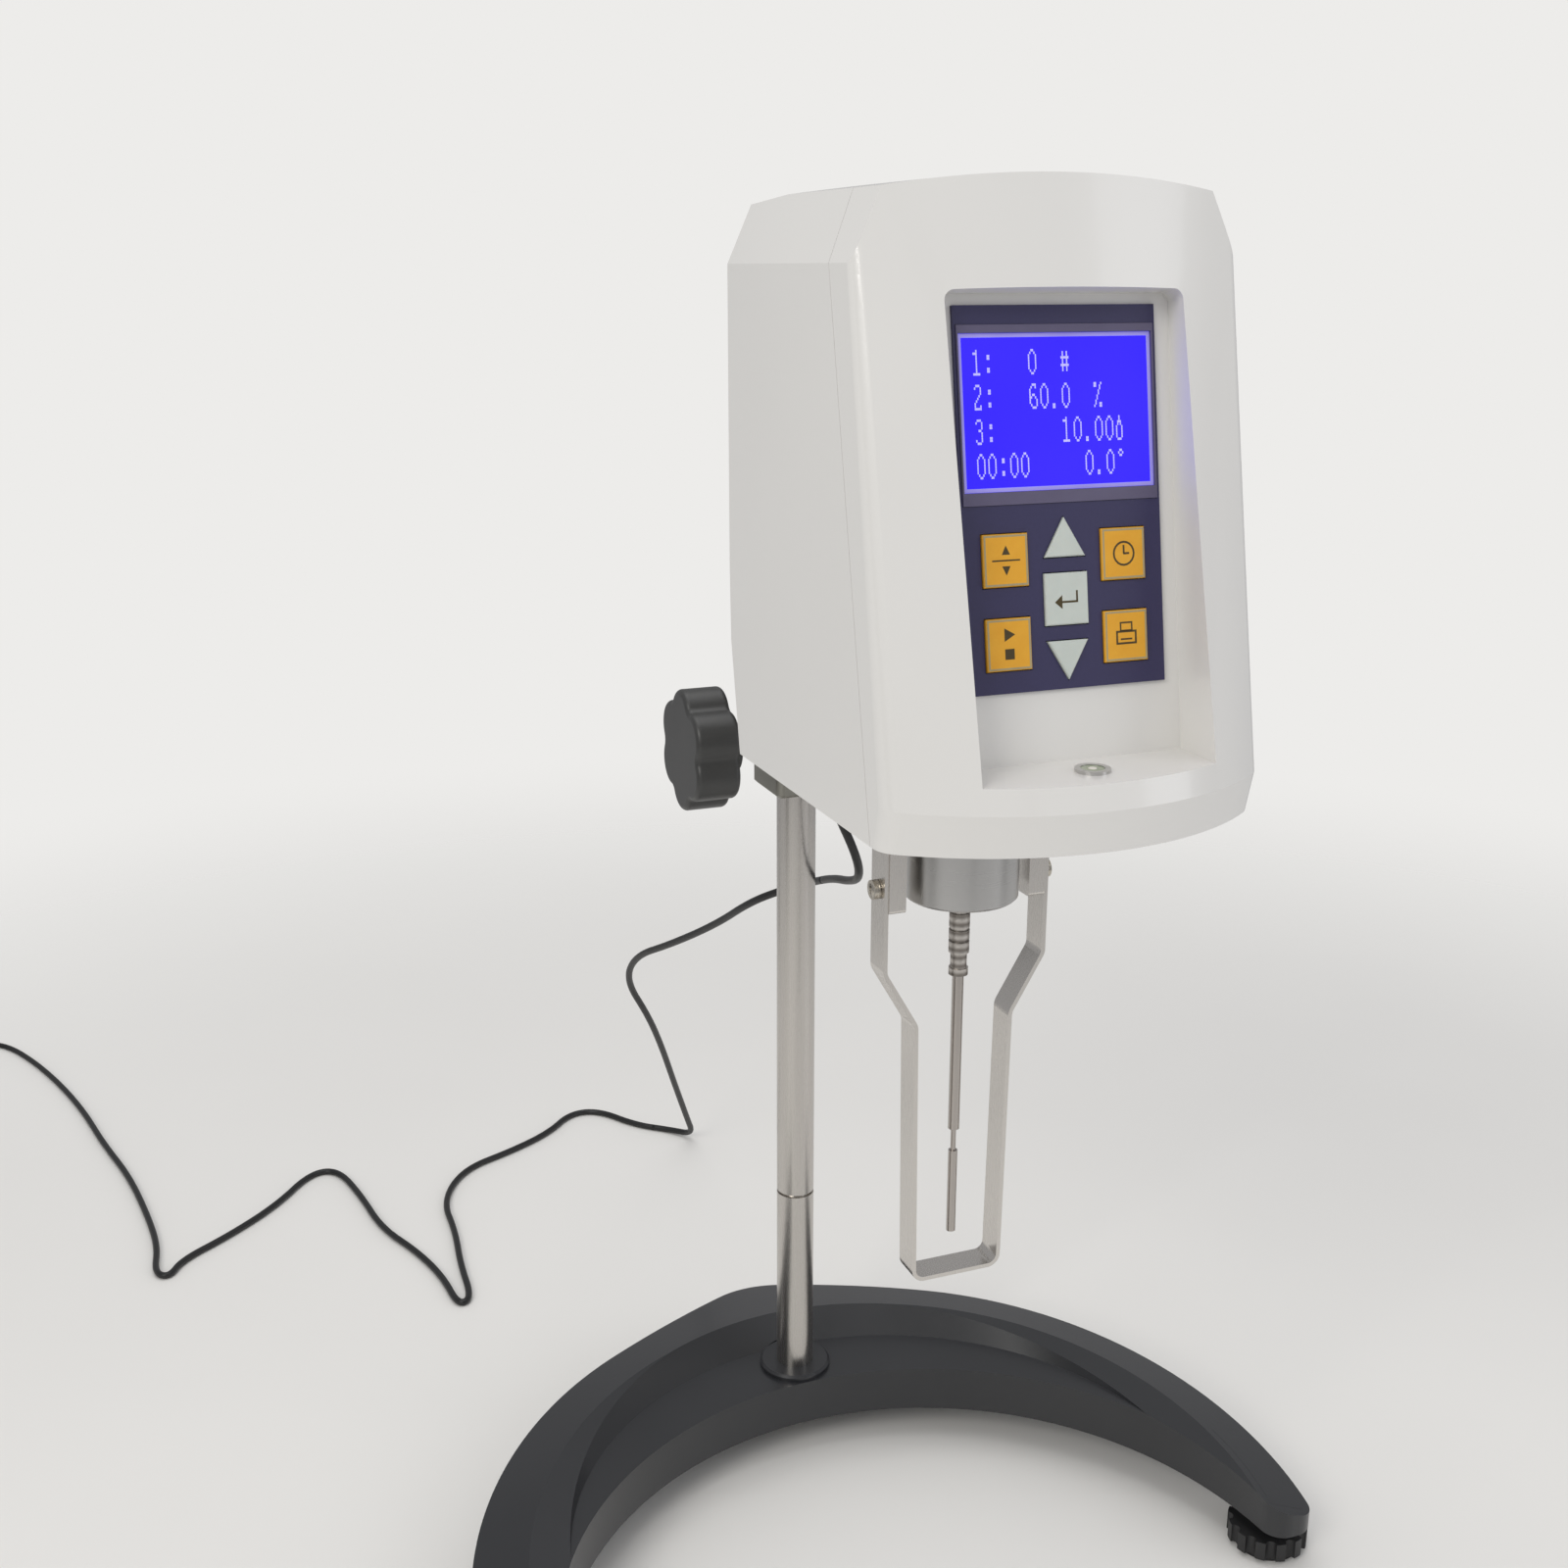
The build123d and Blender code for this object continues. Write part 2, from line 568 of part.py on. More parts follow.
def triangle(grow, direction):
    base_v = direction * (TRI_NEAR - grow)
    tip_v = direction * (TRI_NEAR + TRI_H + 1.6 * grow)
    half = TRI_HALF_W + 1.7 * grow
    return outline([(-half, base_v), (half, base_v), (0, tip_v)])


def key_faces(grow):
    """Outline of each key, grown by a gap."""
    faces = {}
    for name, (x, v) in KEYS.items():
        faces[name] = Pos(x, v) * Rectangle(KEY_W + 2 * grow, KEY_H + 2 * grow)
    faces["key_enter"] = Rectangle(KEY_MID + 2 * grow, KEY_H + 2 * grow)
    faces["key_up"] = triangle(grow, 1)
    faces["key_down"] = triangle(grow, -1)
    return faces


def on_keys(face, h0, h1):
    return on_panel(extrude(face, h1 - h0), 0, KEY_CENTRE_V, h0)


lcd_window_w = LCD_W + 2 * LCD_SIDE
lcd_window_h = LCD_H + LCD_TOP_STRIP + LCD_LOW_STRIP
lcd_window_v = PANEL_DROP + (LCD_TOP_STRIP - LCD_LOW_STRIP) / 2
flange_top_h = back_h - 0.2
flange_low_h = flange_top_h - KEY_FLANGE
dome_h = flange_low_h - KEY_TRAVEL - 0.05
board_top_h = dome_h - 1.2


def front_housing():
    shell = outer_form - cavity_form
    tub = recess_prism(2.5, back_h, 60) & head_form(0.5)
    shell = (shell + tub) - recess_prism(0.0, seat_h, 60)
    for face in key_faces(KEY_GAP).values():
        shell -= on_keys(face, back_h - 1, seat_h + 1)
    shell -= on_panel(Box(lcd_window_w + 0.4, lcd_window_h + 0.4, 12), 0, lcd_window_v, back_h)
    level_y = level_spot()
    shell -= rod(LEVEL_BODY_D + 2 * SEAT, LEDGE_Z - 4, LEDGE_Z + 1, 0, level_y)
    front = shell & ahead_of_seam(SEAM_GAP / 2)
    front -= (lip_form - head_form(HEAD_WALL + 1)) & (ahead_of_seam(-1) - ahead_of_seam(LIP + 2 * LIP_CLEAR))
    for x in (-HEAD_SCREW_X, HEAD_SCREW_X):
        for z in (HEAD_SCREW_LOW_Z, HEAD_SCREW_HIGH_Z):
            boss = rod_y(HEAD_BOSS_D, -300, -back_reach, x, z) & ahead_of_seam(SEAM_GAP / 2)
            boss &= head_form(0.5)
            boss -= recess_prism(1.0, seat_h, 60)
            front += boss
            front -= rod_y(HEAD_SCREW_D + 2 * SEAT, seam_at(z) - 8, seam_at(z) + 20, x, z)
    return front


def level_spot():
    """Middle of the ledge, between the recess floor and the chin."""
    floor_y = -panel_reach + PANEL_T - (LCD_Z - LEDGE_Z) * tan(radians(PANEL_TILT))
    return (floor_y - face_at(LEDGE_Z)[0]) / 2


def seam_at(z):
    return -seam_reach - (SHOULDER_Z - z) * tan(radians(SEAM_LEAN))


lug_in = GUARD_UPPER_HALF - STRIP_T - LUG_T
lug_out = GUARD_UPPER_HALF - STRIP_T
lug_mid = (lug_in + lug_out) / 2


def rear_housing():
    shell = outer_form - cavity_form
    rear = shell - ahead_of_seam(-SEAM_GAP / 2)
    lip = (head_form(HEAD_WALL / 2 + LIP_CLEAR) - cavity_form)
    lip &= ahead_of_seam(-SEAM_GAP - 1) - ahead_of_seam(LIP)
    rear += lip
    rear -= rod(CUP_D + 0.4, HEAD_Z - 1, flange_z + 1, 0, axis_y)
    rear -= rod_y(ARM_D + 0.4, -back_foot_reach - 10, -back_reach + 5, 0, ARM_Z)
    for side in (-1, 1):
        rear -= rod(LUG_SPIGOT_D + 2 * SEAT, HEAD_Z - 1, flange_z + 1, side * lug_mid, axis_y)
    for x in (-HEAD_SCREW_X, HEAD_SCREW_X):
        for z in (HEAD_SCREW_LOW_Z, HEAD_SCREW_HIGH_Z):
            boss = rod_y(HEAD_BOSS_D, -260, -back_reach - 1, x, z) - ahead_of_seam(-SEAM_GAP / 2)
            rear += boss & outer_form
            rear -= rod_y(HEAD_SCREW_D + 2 * SCREW_CLEAR, seam_at(z) - 8, 0, x, z)
            rear -= rod_y(HEAD_BOSS_D - 2.4, -back_reach - 5, 0, x, z)
    back = -back_reach
    rear -= rod_y(JACK_D - 2, back - 8, back + 5, JACK_X, JACK_Z)
    rear -= block(SWITCH_X - SWITCH_W / 2 + 1, SWITCH_X + SWITCH_W / 2 - 1, back - 8, back + 5,
                  SWITCH_Z - SWITCH_H / 2 + 1, SWITCH_Z + SWITCH_H / 2 - 1)
    rear -= block(PORT_X - 9.2, PORT_X + 9.2, back - 8, back + 5, PORT_Z - 4.8, PORT_Z + 4.8)
    for side in (-1, 1):
        rear -= rod_y(4.4, back - 8, back + 5, PORT_X + side * PORT_PITCH / 2, PORT_Z)
    rear -= rod_y(PROBE_D - 3, back - 8, back + 5, PROBE_X, PROBE_Z)
    for side in (-1, 1):
        for z in VENT_ROWS:
            rear -= block(side * 40 - 14, side * 40 + 14, back - 8, back + 5, z, z + 1.8)
    return rear


VENT_ROWS = [478.0 + 4.0 * i for i in range(4)]
add("front_housing", front_housing())
add("rear_housing", rear_housing())
screws = []
for x in (-HEAD_SCREW_X, HEAD_SCREW_X):
    for z in (HEAD_SCREW_LOW_Z, HEAD_SCREW_HIGH_Z):
        screw = rod_y(HEAD_SCREW_D, seam_at(z) - 7, -back_reach - 5, x, z)
        screw += rod_y(HEAD_BOSS_D - 3, -back_reach - 5, -back_reach - 2.6, x, z)
        screws.append(screw)
add("housing_screws", Compound(children=screws))

# ---------------------------------------------------------------- panel, keys, LCD, level
panel = on_panel(extrude(Rectangle(PANEL_W, PANEL_H), PANEL_T), 0, 0, seat_h)
panel -= on_panel(Box(lcd_window_w + 0.2, lcd_window_h + 0.2, 12), 0, lcd_window_v, 0)
for face in key_faces(KEY_GAP).values():
    panel -= on_keys(face, seat_h - 1, 1)
add("control_panel", panel)
for name, face in key_faces(0.0).items():
    key = on_keys(face, flange_top_h, KEY_PROUD)
    key = chamfer(key.faces().sort_by(Axis.Y)[0].edges(), 0.35)
    flange = key_faces(1.2 if name in ("key_up", "key_down", "key_enter") else 1.5)[name]
    if name in ("key_up", "key_down"):
        flange = key_faces(0.0)[name]
    if name == "key_enter":
        flange = Rectangle(KEY_MID + 3, KEY_H)
    key += on_keys(flange, flange_low_h, flange_top_h)
    add(name, key)

bezel = on_panel(Box(lcd_window_w, lcd_window_h, 9.0), 0, lcd_window_v, 0.3 - 4.5)
bezel -= on_panel(Box(LCD_W, LCD_H, 30), 0, PANEL_DROP, 0)
add("lcd_bezel", bezel)
glass_h = -0.6
add("lcd_glass", on_panel(Box(LCD_W - 0.1, LCD_H - 0.1, 2.0), 0, PANEL_DROP, glass_h - 1.0))
lcd_board_h = 0.3 - 9.0
board = on_panel(Box(LCD_BOARD_W, LCD_BOARD_H - 14, BOARD_T), 0, PANEL_DROP + 3, lcd_board_h - BOARD_T / 2)
board += on_panel(Box(LCD_W - 1, LCD_H - 1, 6.0), 0, PANEL_DROP, lcd_board_h + 3.0)
boards = [board]

keypad = on_panel(Box(58, 50, BOARD_T), 0, KEY_CENTRE_V, board_top_h - BOARD_T / 2)
for name, (x, v) in list(KEYS.items()) + [("key_enter", (0, 0))]:
    keypad += on_panel(Cylinder(3, 1.2), x, KEY_CENTRE_V + v, board_top_h + 0.6)
for direction in (-1, 1):
    v = KEY_CENTRE_V + direction * (TRI_NEAR + TRI_H * 0.36)
    keypad += on_panel(Cylinder(2.5, 1.2), 0, v, board_top_h + 0.6)
boards.append(keypad)

level_y = level_spot()
ring = rod(LEVEL_BODY_D, LEDGE_Z - LEVEL_H, LEDGE_Z, 0, level_y)
ring += rod(LEVEL_D, LEDGE_Z, LEDGE_Z + 1.0, 0, level_y)
ring -= rod(LEVEL_BODY_D - 1.6, LEDGE_Z - LEVEL_H + 1, LEDGE_Z + 1, 0, level_y)
add("level_ring", ring)
vial = rod(LEVEL_BODY_D - 1.7, LEDGE_Z - LEVEL_H + 1, LEDGE_Z + 0.8, 0, level_y)
add("level_vial", vial)

# ---------------------------------------------------------------- bearing cup, guard
cup = rod(CUP_D, CUP_Z, flange_z + CUP_FLANGE_T, 0, axis_y)
cup = chamfer(cup.edges().filter_by(GeomType.CIRCLE).sort_by(Axis.Z)[0], 0.8)
cup += rod(CUP_FLANGE_D, flange_z, flange_z + CUP_FLANGE_T, 0, axis_y)
cup -= rod(CUP_D - 2 * CUP_WALL, CUP_Z + CUP_WALL, flange_z + CUP_FLANGE_T, 0, axis_y)
cup -= rod(CUP_MOUTH_D, CUP_Z, CUP_Z + CUP_WALL, 0, axis_y)
for side in (-1, 1):
    cup -= rod(LUG_SPIGOT_D + 2 * SEAT, flange_z, plate_z, side * lug_mid, axis_y)
add("bearing_cup", cup)

bush = rod(CUP_D - 2 * CUP_WALL - 2 * SEAT, BEARING_Z, BEARING_Z + BEARING_H, 0, axis_y)
add("shaft_bearing", bush - rod(SHAFT_D + 2 * RUN, BEARING_Z, BEARING_Z + BEARING_H, 0, axis_y))

lugs = []
guard_screws = []
for side in (-1, 1):
    x0, x1 = sorted((side * lug_in, side * lug_out))
    lug = block(x0, x1, axis_y - STRIP_W / 2 - 0.5, axis_y + STRIP_W / 2 + 0.5, LUG_Z, HEAD_Z)
    lug = fillet(lug.edges().filter_by(Axis.X), 1.2)
    lug += rod(LUG_SPIGOT_D, HEAD_Z, plate_z, side * lug_mid, axis_y)
    lug -= rod_x(GUARD_SCREW_D + 2 * SEAT, side * (lug_out - 5), side * (lug_out + 1), axis_y, GUARD_SCREW_Z)
    lugs.append(lug)
    screw = rod_x(GUARD_SCREW_D, side * (lug_out - 4.5), side * GUARD_UPPER_HALF, axis_y, GUARD_SCREW_Z)
    head = rod_x(GUARD_SCREW_HEAD_D, side * GUARD_UPPER_HALF,
                 side * (GUARD_UPPER_HALF + GUARD_SCREW_HEAD_H), axis_y, GUARD_SCREW_Z)
    guard_screws.append(screw + head)
add("guard_lugs", Compound(children=lugs))
add("guard_screws", Compound(children=guard_screws))


def guard_frame():
    """One flat strip bent to a U with two joggled legs."""
    half = GUARD_UPPER_HALF - STRIP_T / 2
    low = GUARD_LOWER_HALF - STRIP_T / 2
    foot_z = GUARD_LOW_Z + STRIP_T / 2
    tip = GUARD_TIP_HALF - STRIP_T / 2
    points = [(-half, GUARD_TOP_Z), (-half, GUARD_BEND_HIGH_Z), (-low, GUARD_BEND_LOW_Z), (-tip, foot_z),
              (tip, foot_z), (low, GUARD_BEND_LOW_Z), (half, GUARD_BEND_HIGH_Z), (half, GUARD_TOP_Z)]
    radii = [GUARD_BEND_R, GUARD_BEND_R, GUARD_CORNER_R, GUARD_CORNER_R, GUARD_BEND_R, GUARD_BEND_R]
    path = FilletPolyline(*points, radius=radii)
    band = trace_band(path)
    strip = Pos(0, axis_y, 0) * extrude(Plane.XZ * band, STRIP_W / 2, both=True)
    for side in (-1, 1):
        strip -= rod_x(GUARD_SCREW_D + 2 * SCREW_CLEAR, side * (lug_out - 1), side * (GUARD_UPPER_HALF + 1),
                       axis_y, GUARD_SCREW_Z)
    return strip


def trace_band(path):
    """A band of the strip's thickness along a flat path."""
    return trace(path, line_width=STRIP_T)


add("guard_frame", guard_frame())

# ---------------------------------------------------------------- chassis and drive
low_y0 = axis_y - PLATE_FRONT
POSTS = [(sx * POST_X, y) for sx in (-1, 1) for y in (low_y0 + POST_INSET, bracket_y - POST_INSET)]
lower_plate = block(-PLATE_W / 2, PLATE_W / 2, low_y0, arm_far, plate_z, post_z)
lower_plate -= rod(CUP_D - 2 * CUP_WALL, plate_z, post_z, 0, axis_y)
add("lower_plate", lower_plate + bracket)
upper_plate = block(-PLATE_W / 2, PLATE_W / 2, low_y0 + 4, arm_far - 4, upper_z, motor_z)
upper_plate -= rod(24, upper_z, motor_z, 0, axis_y)
add("upper_plate", upper_plate)
add("chassis_posts", Compound(children=[rod(POST_D, post_z, upper_z, x, y) for x, y in POSTS]))

motor = block(-MOTOR_W / 2, MOTOR_W / 2, axis_y - MOTOR_W / 2, axis_y + MOTOR_W / 2,
              motor_z, motor_z + MOTOR_H)
motor = chamfer(motor.edges().filter_by(Axis.Z), 4.0)
motor += rod(22, motor_z - 2, motor_z, 0, axis_y)
motor -= rod(MOTOR_SHAFT_D + 2 * RUN, motor_z - 2, motor_z + 12, 0, axis_y)
add("motor", motor)
drive_shaft = rod(MOTOR_SHAFT_D, SLEEVE_TOP_Z - 10, motor_z + 11.5, 0, axis_y)
add("drive_shaft", drive_shaft)


def slotted_disc(z, bore, turn):
    face = Circle(DISC_D / 2) - Circle(bore / 2)
    for i in range(DISC_SLOTS):
        a = 360 * i / DISC_SLOTS + turn
        face -= Rot(0, 0, a) * (Pos(DISC_D / 2 - 3.5, 0) * Rectangle(4, 1.6))
    return Pos(0, axis_y, z) * extrude(face, DISC_T)


spring_out_r = SPRING_IN_R + SPRING_HALF_TURNS * SPRING_PITCH / 2
high_disc = slotted_disc(HIGH_DISC_Z, SHAFT_D + 2 * RUN, 0.0)
peg_x = spring_out_r + 1.0
high_disc += rod(2.0, SPRING_Z, HIGH_DISC_Z, peg_x, axis_y)
high_disc += rod(SLEEVE_D, HIGH_DISC_Z + DISC_T, SLEEVE_TOP_Z, 0, axis_y)
high_disc -= rod(MOTOR_SHAFT_D + 2 * SEAT, SLEEVE_TOP_Z - 10, SLEEVE_TOP_Z, 0, axis_y)
high_disc -= rod(SHAFT_D + 2 * RUN, HIGH_DISC_Z, HIGH_DISC_Z + 14, 0, axis_y)
add("drive_disc", high_disc)
add("measuring_disc", slotted_disc(LOW_DISC_Z, SHAFT_D + 2 * SEAT, 7.5))


def hairspring():
    """A flat spiral strip, built up from half rings whose centres alternate."""
    spiral = None
    radius = SPRING_IN_R
    centre = 0.0
    for i in range(SPRING_HALF_TURNS):
        upper_half = i % 2 == 0
        ring = Circle(radius + SPRING_T) - Circle(radius)
        ring &= Pos(0, (1 if upper_half else -1) * 25) * Rectangle(100, 50)
        ring = Pos(centre, 0) * ring
        spiral = ring if spiral is None else spiral + ring
        step = SPRING_PITCH / 2
        centre += -step if upper_half else step
        radius += step
    return Pos(0, axis_y, SPRING_Z) * extrude(spiral, SPRING_H)


add("hairspring", hairspring())

shaft_top = HIGH_DISC_Z + 12
shaft = rod(SHAFT_D, COUPLING_Z + COUPLING_H - 10, shaft_top, 0, axis_y)
shaft += rod(SHAFT_D + 2.4, LOW_DISC_Z + DISC_T, SPRING_Z + SPRING_H, 0, axis_y)
add("main_shaft", shaft)

coupling = rod(COUPLING_D, COUPLING_Z + 8, COUPLING_Z + COUPLING_H, 0, axis_y)
coupling += rod(COUPLING_D - 1.4, COUPLING_Z + 2.5, COUPLING_Z + 8, 0, axis_y)
coupling += rod(COUPLING_D - 0.4, COUPLING_Z, COUPLING_Z + 2.5, 0, axis_y)
for z in (COUPLING_Z + 12, COUPLING_Z + 16, COUPLING_Z + 22):
    coupling -= rod(COUPLING_D + 2, z, z + 0.9, 0, axis_y) - rod(COUPLING_D - 1.0, z, z + 0.9, 0, axis_y)
coupling -= rod(SHAFT_D + 2 * SEAT, COUPLING_Z + COUPLING_H - 10, COUPLING_Z + COUPLING_H, 0, axis_y)
coupling -= rod(SHANK_D + 2 * SEAT, COUPLING_Z, COUPLING_Z + 12, 0, axis_y)
add("spindle_coupling", coupling)

spindle = rod(SHANK_D, SHANK_LOW_Z, COUPLING_Z + 12, 0, axis_y)
spindle += rod(NECK_D, ROTOR_TOP_Z, SHANK_LOW_Z, 0, axis_y)
spindle += rod(ROTOR_D, ROTOR_TIP_Z, ROTOR_TOP_Z, 0, axis_y)
add("spindle", spindle)

sensors = []
for z in (LOW_DISC_Z, HIGH_DISC_Z):
    arm_x = DISC_D / 2 - 6
    body = block(arm_x, arm_x + 14, axis_y - 3.5, axis_y + 3.5, z - 4, z + 5)
    body -= block(arm_x - 1, arm_x + 8, axis_y - 5, axis_y + 5, z - 1.5, z + DISC_T + 1.5)
    sensors.append(body)
bar_x = DISC_D / 2 + 8
sensors.append(block(bar_x, bar_x + 2, axis_y - 6, axis_y + 6, post_z, upper_z))
add("opto_sensors", Compound(children=sensors))

main_board_y = -back_reach - HEAD_WALL - MAIN_BOARD_GAP
board = block(-44, 44, main_board_y, main_board_y + BOARD_T, 434, 512)
for x in (-30.0, -8.0, 16.0):
    board += block(x, x + 14, main_board_y - 6, main_board_y, 484, 500)
boards.append(board)
add("circuit_boards", Compound(children=boards))

# ---------------------------------------------------------------- rear connections
back = -back_reach
jack = rod_y(JACK_D, back, back + 2, JACK_X, JACK_Z) + rod_y(JACK_D - 2.2, back - 12, back, JACK_X, JACK_Z)
jack -= rod_y(PLUG_D + 2 * SEAT + 1.0, back - 10, back + 2, JACK_X, JACK_Z)
add("power_jack", jack)
plug = rod_y(PLUG_D, back - 9.5, back + 2, JACK_X, JACK_Z)
plug += rod_y(PLUG_BODY_D, back + 2.3, back + 2.3 + PLUG_BODY_L * 0.6, JACK_X, JACK_Z)
neck_y = back + 2.3 + PLUG_BODY_L * 0.6
plug += rod_y(PLUG_D, back, back + 2.4, JACK_X, JACK_Z)
taper = Pos(JACK_X, neck_y + PLUG_BODY_L * 0.2, JACK_Z) * Rot(-90, 0, 0) * Cone(
    PLUG_BODY_D / 2 - 0.8, CORD_D / 2 + 0.5, PLUG_BODY_L * 0.4)
plug += taper
add("power_plug", plug)
plug_end = neck_y + PLUG_BODY_L * 0.4

bezel = block(SWITCH_X - SWITCH_W / 2, SWITCH_X + SWITCH_W / 2, back, back + 1.6,
              SWITCH_Z - SWITCH_H / 2, SWITCH_Z + SWITCH_H / 2)
bezel += block(SWITCH_X - SWITCH_W / 2 + 1.1, SWITCH_X + SWITCH_W / 2 - 1.1, back - 11, back,
               SWITCH_Z - SWITCH_H / 2 + 1.1, SWITCH_Z + SWITCH_H / 2 - 1.1)
rocker_half_w = SWITCH_W / 2 - 2.6
bezel -= block(SWITCH_X - rocker_half_w - LOOSE, SWITCH_X + rocker_half_w + LOOSE, back - 9, back + 2,
               SWITCH_Z - SWITCH_H / 2 + 2.2, SWITCH_Z + SWITCH_H / 2 - 2.2)
pivot_y = back - 2.5
bezel -= rod_x(2.0 + 2 * RUN, SWITCH_X - rocker_half_w - 1.2, SWITCH_X + rocker_half_w + 1.2,
               pivot_y, SWITCH_Z)
add("switch_bezel", bezel)
rocker_face = outline([(-2.5, -5.8), (4.4, -6.2), (2.6, 0), (4.4, 6.2), (-2.5, 5.8)])
rocker = extrude(Plane.YZ * rocker_face, rocker_half_w, both=True)
rocker += rod_x(2.0, -rocker_half_w - 1.0, rocker_half_w + 1.0, 0, 0)
add("power_rocker", Pos(SWITCH_X, pivot_y, SWITCH_Z) * Rot(ROCKER_TILT, 0, 0) * rocker)

port = block(PORT_X - 15.4, PORT_X + 15.4, back, back + 1.0, PORT_Z - 6.2, PORT_Z + 6.2)
shell_face = outline([(-8.9, 4.1), (8.9, 4.1), (7.9, -4.1), (-7.9, -4.1)])
shell_face = fillet(shell_face.vertices(), 1.6)
port += Pos(PORT_X, back + 5.5, PORT_Z) * extrude(Plane.XZ * shell_face, 12.0)
pocket = offset(shell_face, amount=-0.7)
port -= Pos(PORT_X, back + 5.5, PORT_Z) * extrude(Plane.XZ * pocket, 5.0)
for side in (-1, 1):
    port -= rod_y(3.6, back, back + 1.0, PORT_X + side * PORT_PITCH / 2, PORT_Z)
jackscrews = []
for side in (-1, 1):
    post = Pos(PORT_X + side * PORT_PITCH / 2, back + 1.0, PORT_Z) * Rot(-90, 0, 0) * extrude(
        RegularPolygon(2.75, 6), 4.8)
    post += rod_y(3.5, back - 5, back + 1, PORT_X + side * PORT_PITCH / 2, PORT_Z)
    post -= rod_y(2.5, back - 3, back + 5.8, PORT_X + side * PORT_PITCH / 2, PORT_Z)
    jackscrews.append(post)
add("data_port", Compound(children=[port] + jackscrews))

probe = rod_y(PROBE_D, back, back + 2.5, PROBE_X, PROBE_Z)
probe += rod_y(PROBE_D - 3.2, back - 10, back, PROBE_X, PROBE_Z)
probe -= rod_y(PROBE_D - 6.5, back - 8, back + 2.5, PROBE_X, PROBE_Z)
for i in range(4):
    a = pi / 4 + i * pi / 2
    probe += rod_y(1.2, back - 8, back - 2, PROBE_X + 2.6 * cos(a), PROBE_Z + 2.6 * sin(a))
add("probe_socket", probe)

# ---------------------------------------------------------------- cord
bench = CORD_D / 2 + BENCH_GAP
coil_out = COIL_R + CORD_D * COIL_TURNS_ACROSS / 2
coil_exit = COIL_R + CORD_D / 2     # the outer layer, where the lead joins the coil
adaptor_x = COIL_X - ADAPTOR_SIDE
HANGING_HIGH = [
    (JACK_X, plug_end, JACK_Z), (JACK_X, -48, JACK_Z), (-22, -42, 398), (-20, -43, 370), (-16, -50, 340),
    (-8, -59, 312), (1, -60, 292), (7, -50, 279), (12, -28, 270), (16, -2, 262.5), (17, 11, 257.5),
]
HANGING_LOW = [
    (17, 11, 257.5), (18, 24, 252.5), (12, 42, 244), (1, 58, 234), (-4, 90, 213), (-14, 130, 190),
    (-22, 166, 172), (-21, 188, 150), (-5, 203, 122), (8, 222, 94), (22, 246, 60), (38, 272, 22), (46, 285, 3.6),
    (36, 299, bench),
    (27, 306, bench),
]
ON_BENCH = [
    (27, 306, bench), (18, 313, bench), (2, 340, bench), (-16, 342, bench), (-34, 322, bench),
    (-60, 307, bench), (-92, 294, bench),
    (-110, 262, bench), (-110, 226, bench), (-114, 192, bench), (-115, 157, bench), (-123, 153, bench),
    (-125, 182, bench), (-133, 212, bench), (-147, 244, bench), (-152, 284, bench), (-160, 320, bench),
    (-176, 321, bench), (-198, 290, bench), (-226, 265, bench), (-251, 248, bench), (-258, 233, bench),
    (-265, 240, bench), (-262, 268, bench), (-266, 306, bench), (-274, 356, bench), (-287, 404, bench),
    (-297, 452, bench), (-311, 500, bench), (-328, 545, bench), (-345, 578, bench),
    (COIL_X + 22, COIL_Y + 22, bench), (COIL_X, COIL_Y + coil_exit, bench),
]
TO_ADAPTOR = [
    (COIL_X, COIL_Y + coil_exit, bench + CORD_D), (COIL_X - 21, COIL_Y + 24, bench + 2.6),
    (COIL_X - 44, COIL_Y + 31, bench + 0.6), (COIL_X - 62, COIL_Y + 31, bench + 2.5),
    (adaptor_x, COIL_Y + 18, bench + 6), (adaptor_x, COIL_Y + 3, bench + ADAPTOR_CORD_Z),
]


def route_radii(points):
    """Each arc as large as its two runs allow."""
    radii = []
    for a, b, c in zip(points, points[1:], points[2:]):
        v1 = Vector(*b) - Vector(*a)
        v2 = Vector(*c) - Vector(*b)
        turn = v1.get_angle(v2)
        radii.append(0.45 * min(v1.length, v2.length) / tan(radians(turn) / 2))
    return radii


def cord_tube(name, points):
    radii = route_radii(points)
    path = FilletPolyline(*points, radius=radii)
    start = Plane(origin=path @ 0, z_dir=path % 0)
    tube = sweep(start * Circle(CORD_D / 2), path=path)
    expect = pi * CORD_D**2 / 4 * path.length
    print(name, "length", round(path.length, 1), "volume ratio", round(tube.volume / expect, 4))
    print("  radii", [round(r, 1) for r in radii])
    return tube


add("cord_hanging_high", cord_tube("cord_hanging_high", HANGING_HIGH))
add("cord_hanging_low", cord_tube("cord_hanging_low", HANGING_LOW))
add("cord_on_bench", cord_tube("cord_on_bench", ON_BENCH))
add("cord_to_adaptor", cord_tube("cord_to_adaptor", TO_ADAPTOR))

coil_low = BENCH_GAP
coil_high = coil_low + CORD_D * COIL_LAYERS
coil = rod(2 * coil_out, coil_low, coil_high, COIL_X, COIL_Y)
coil = fillet(coil.edges().filter_by(GeomType.CIRCLE), CORD_D / 2 - 0.1)
coil -= rod(2 * (2 * COIL_R - coil_out), coil_low, coil_high, COIL_X, COIL_Y)
tie_x = COIL_X + COIL_R
tie_half = coil_out - COIL_R
tie = block(tie_x - tie_half - TIE_T, tie_x + tie_half + TIE_T, COIL_Y - TIE_W / 2, COIL_Y + TIE_W / 2,
            coil_low, coil_high + TIE_T)
add("coil_tie", tie - coil)
add("cord_coil", coil)

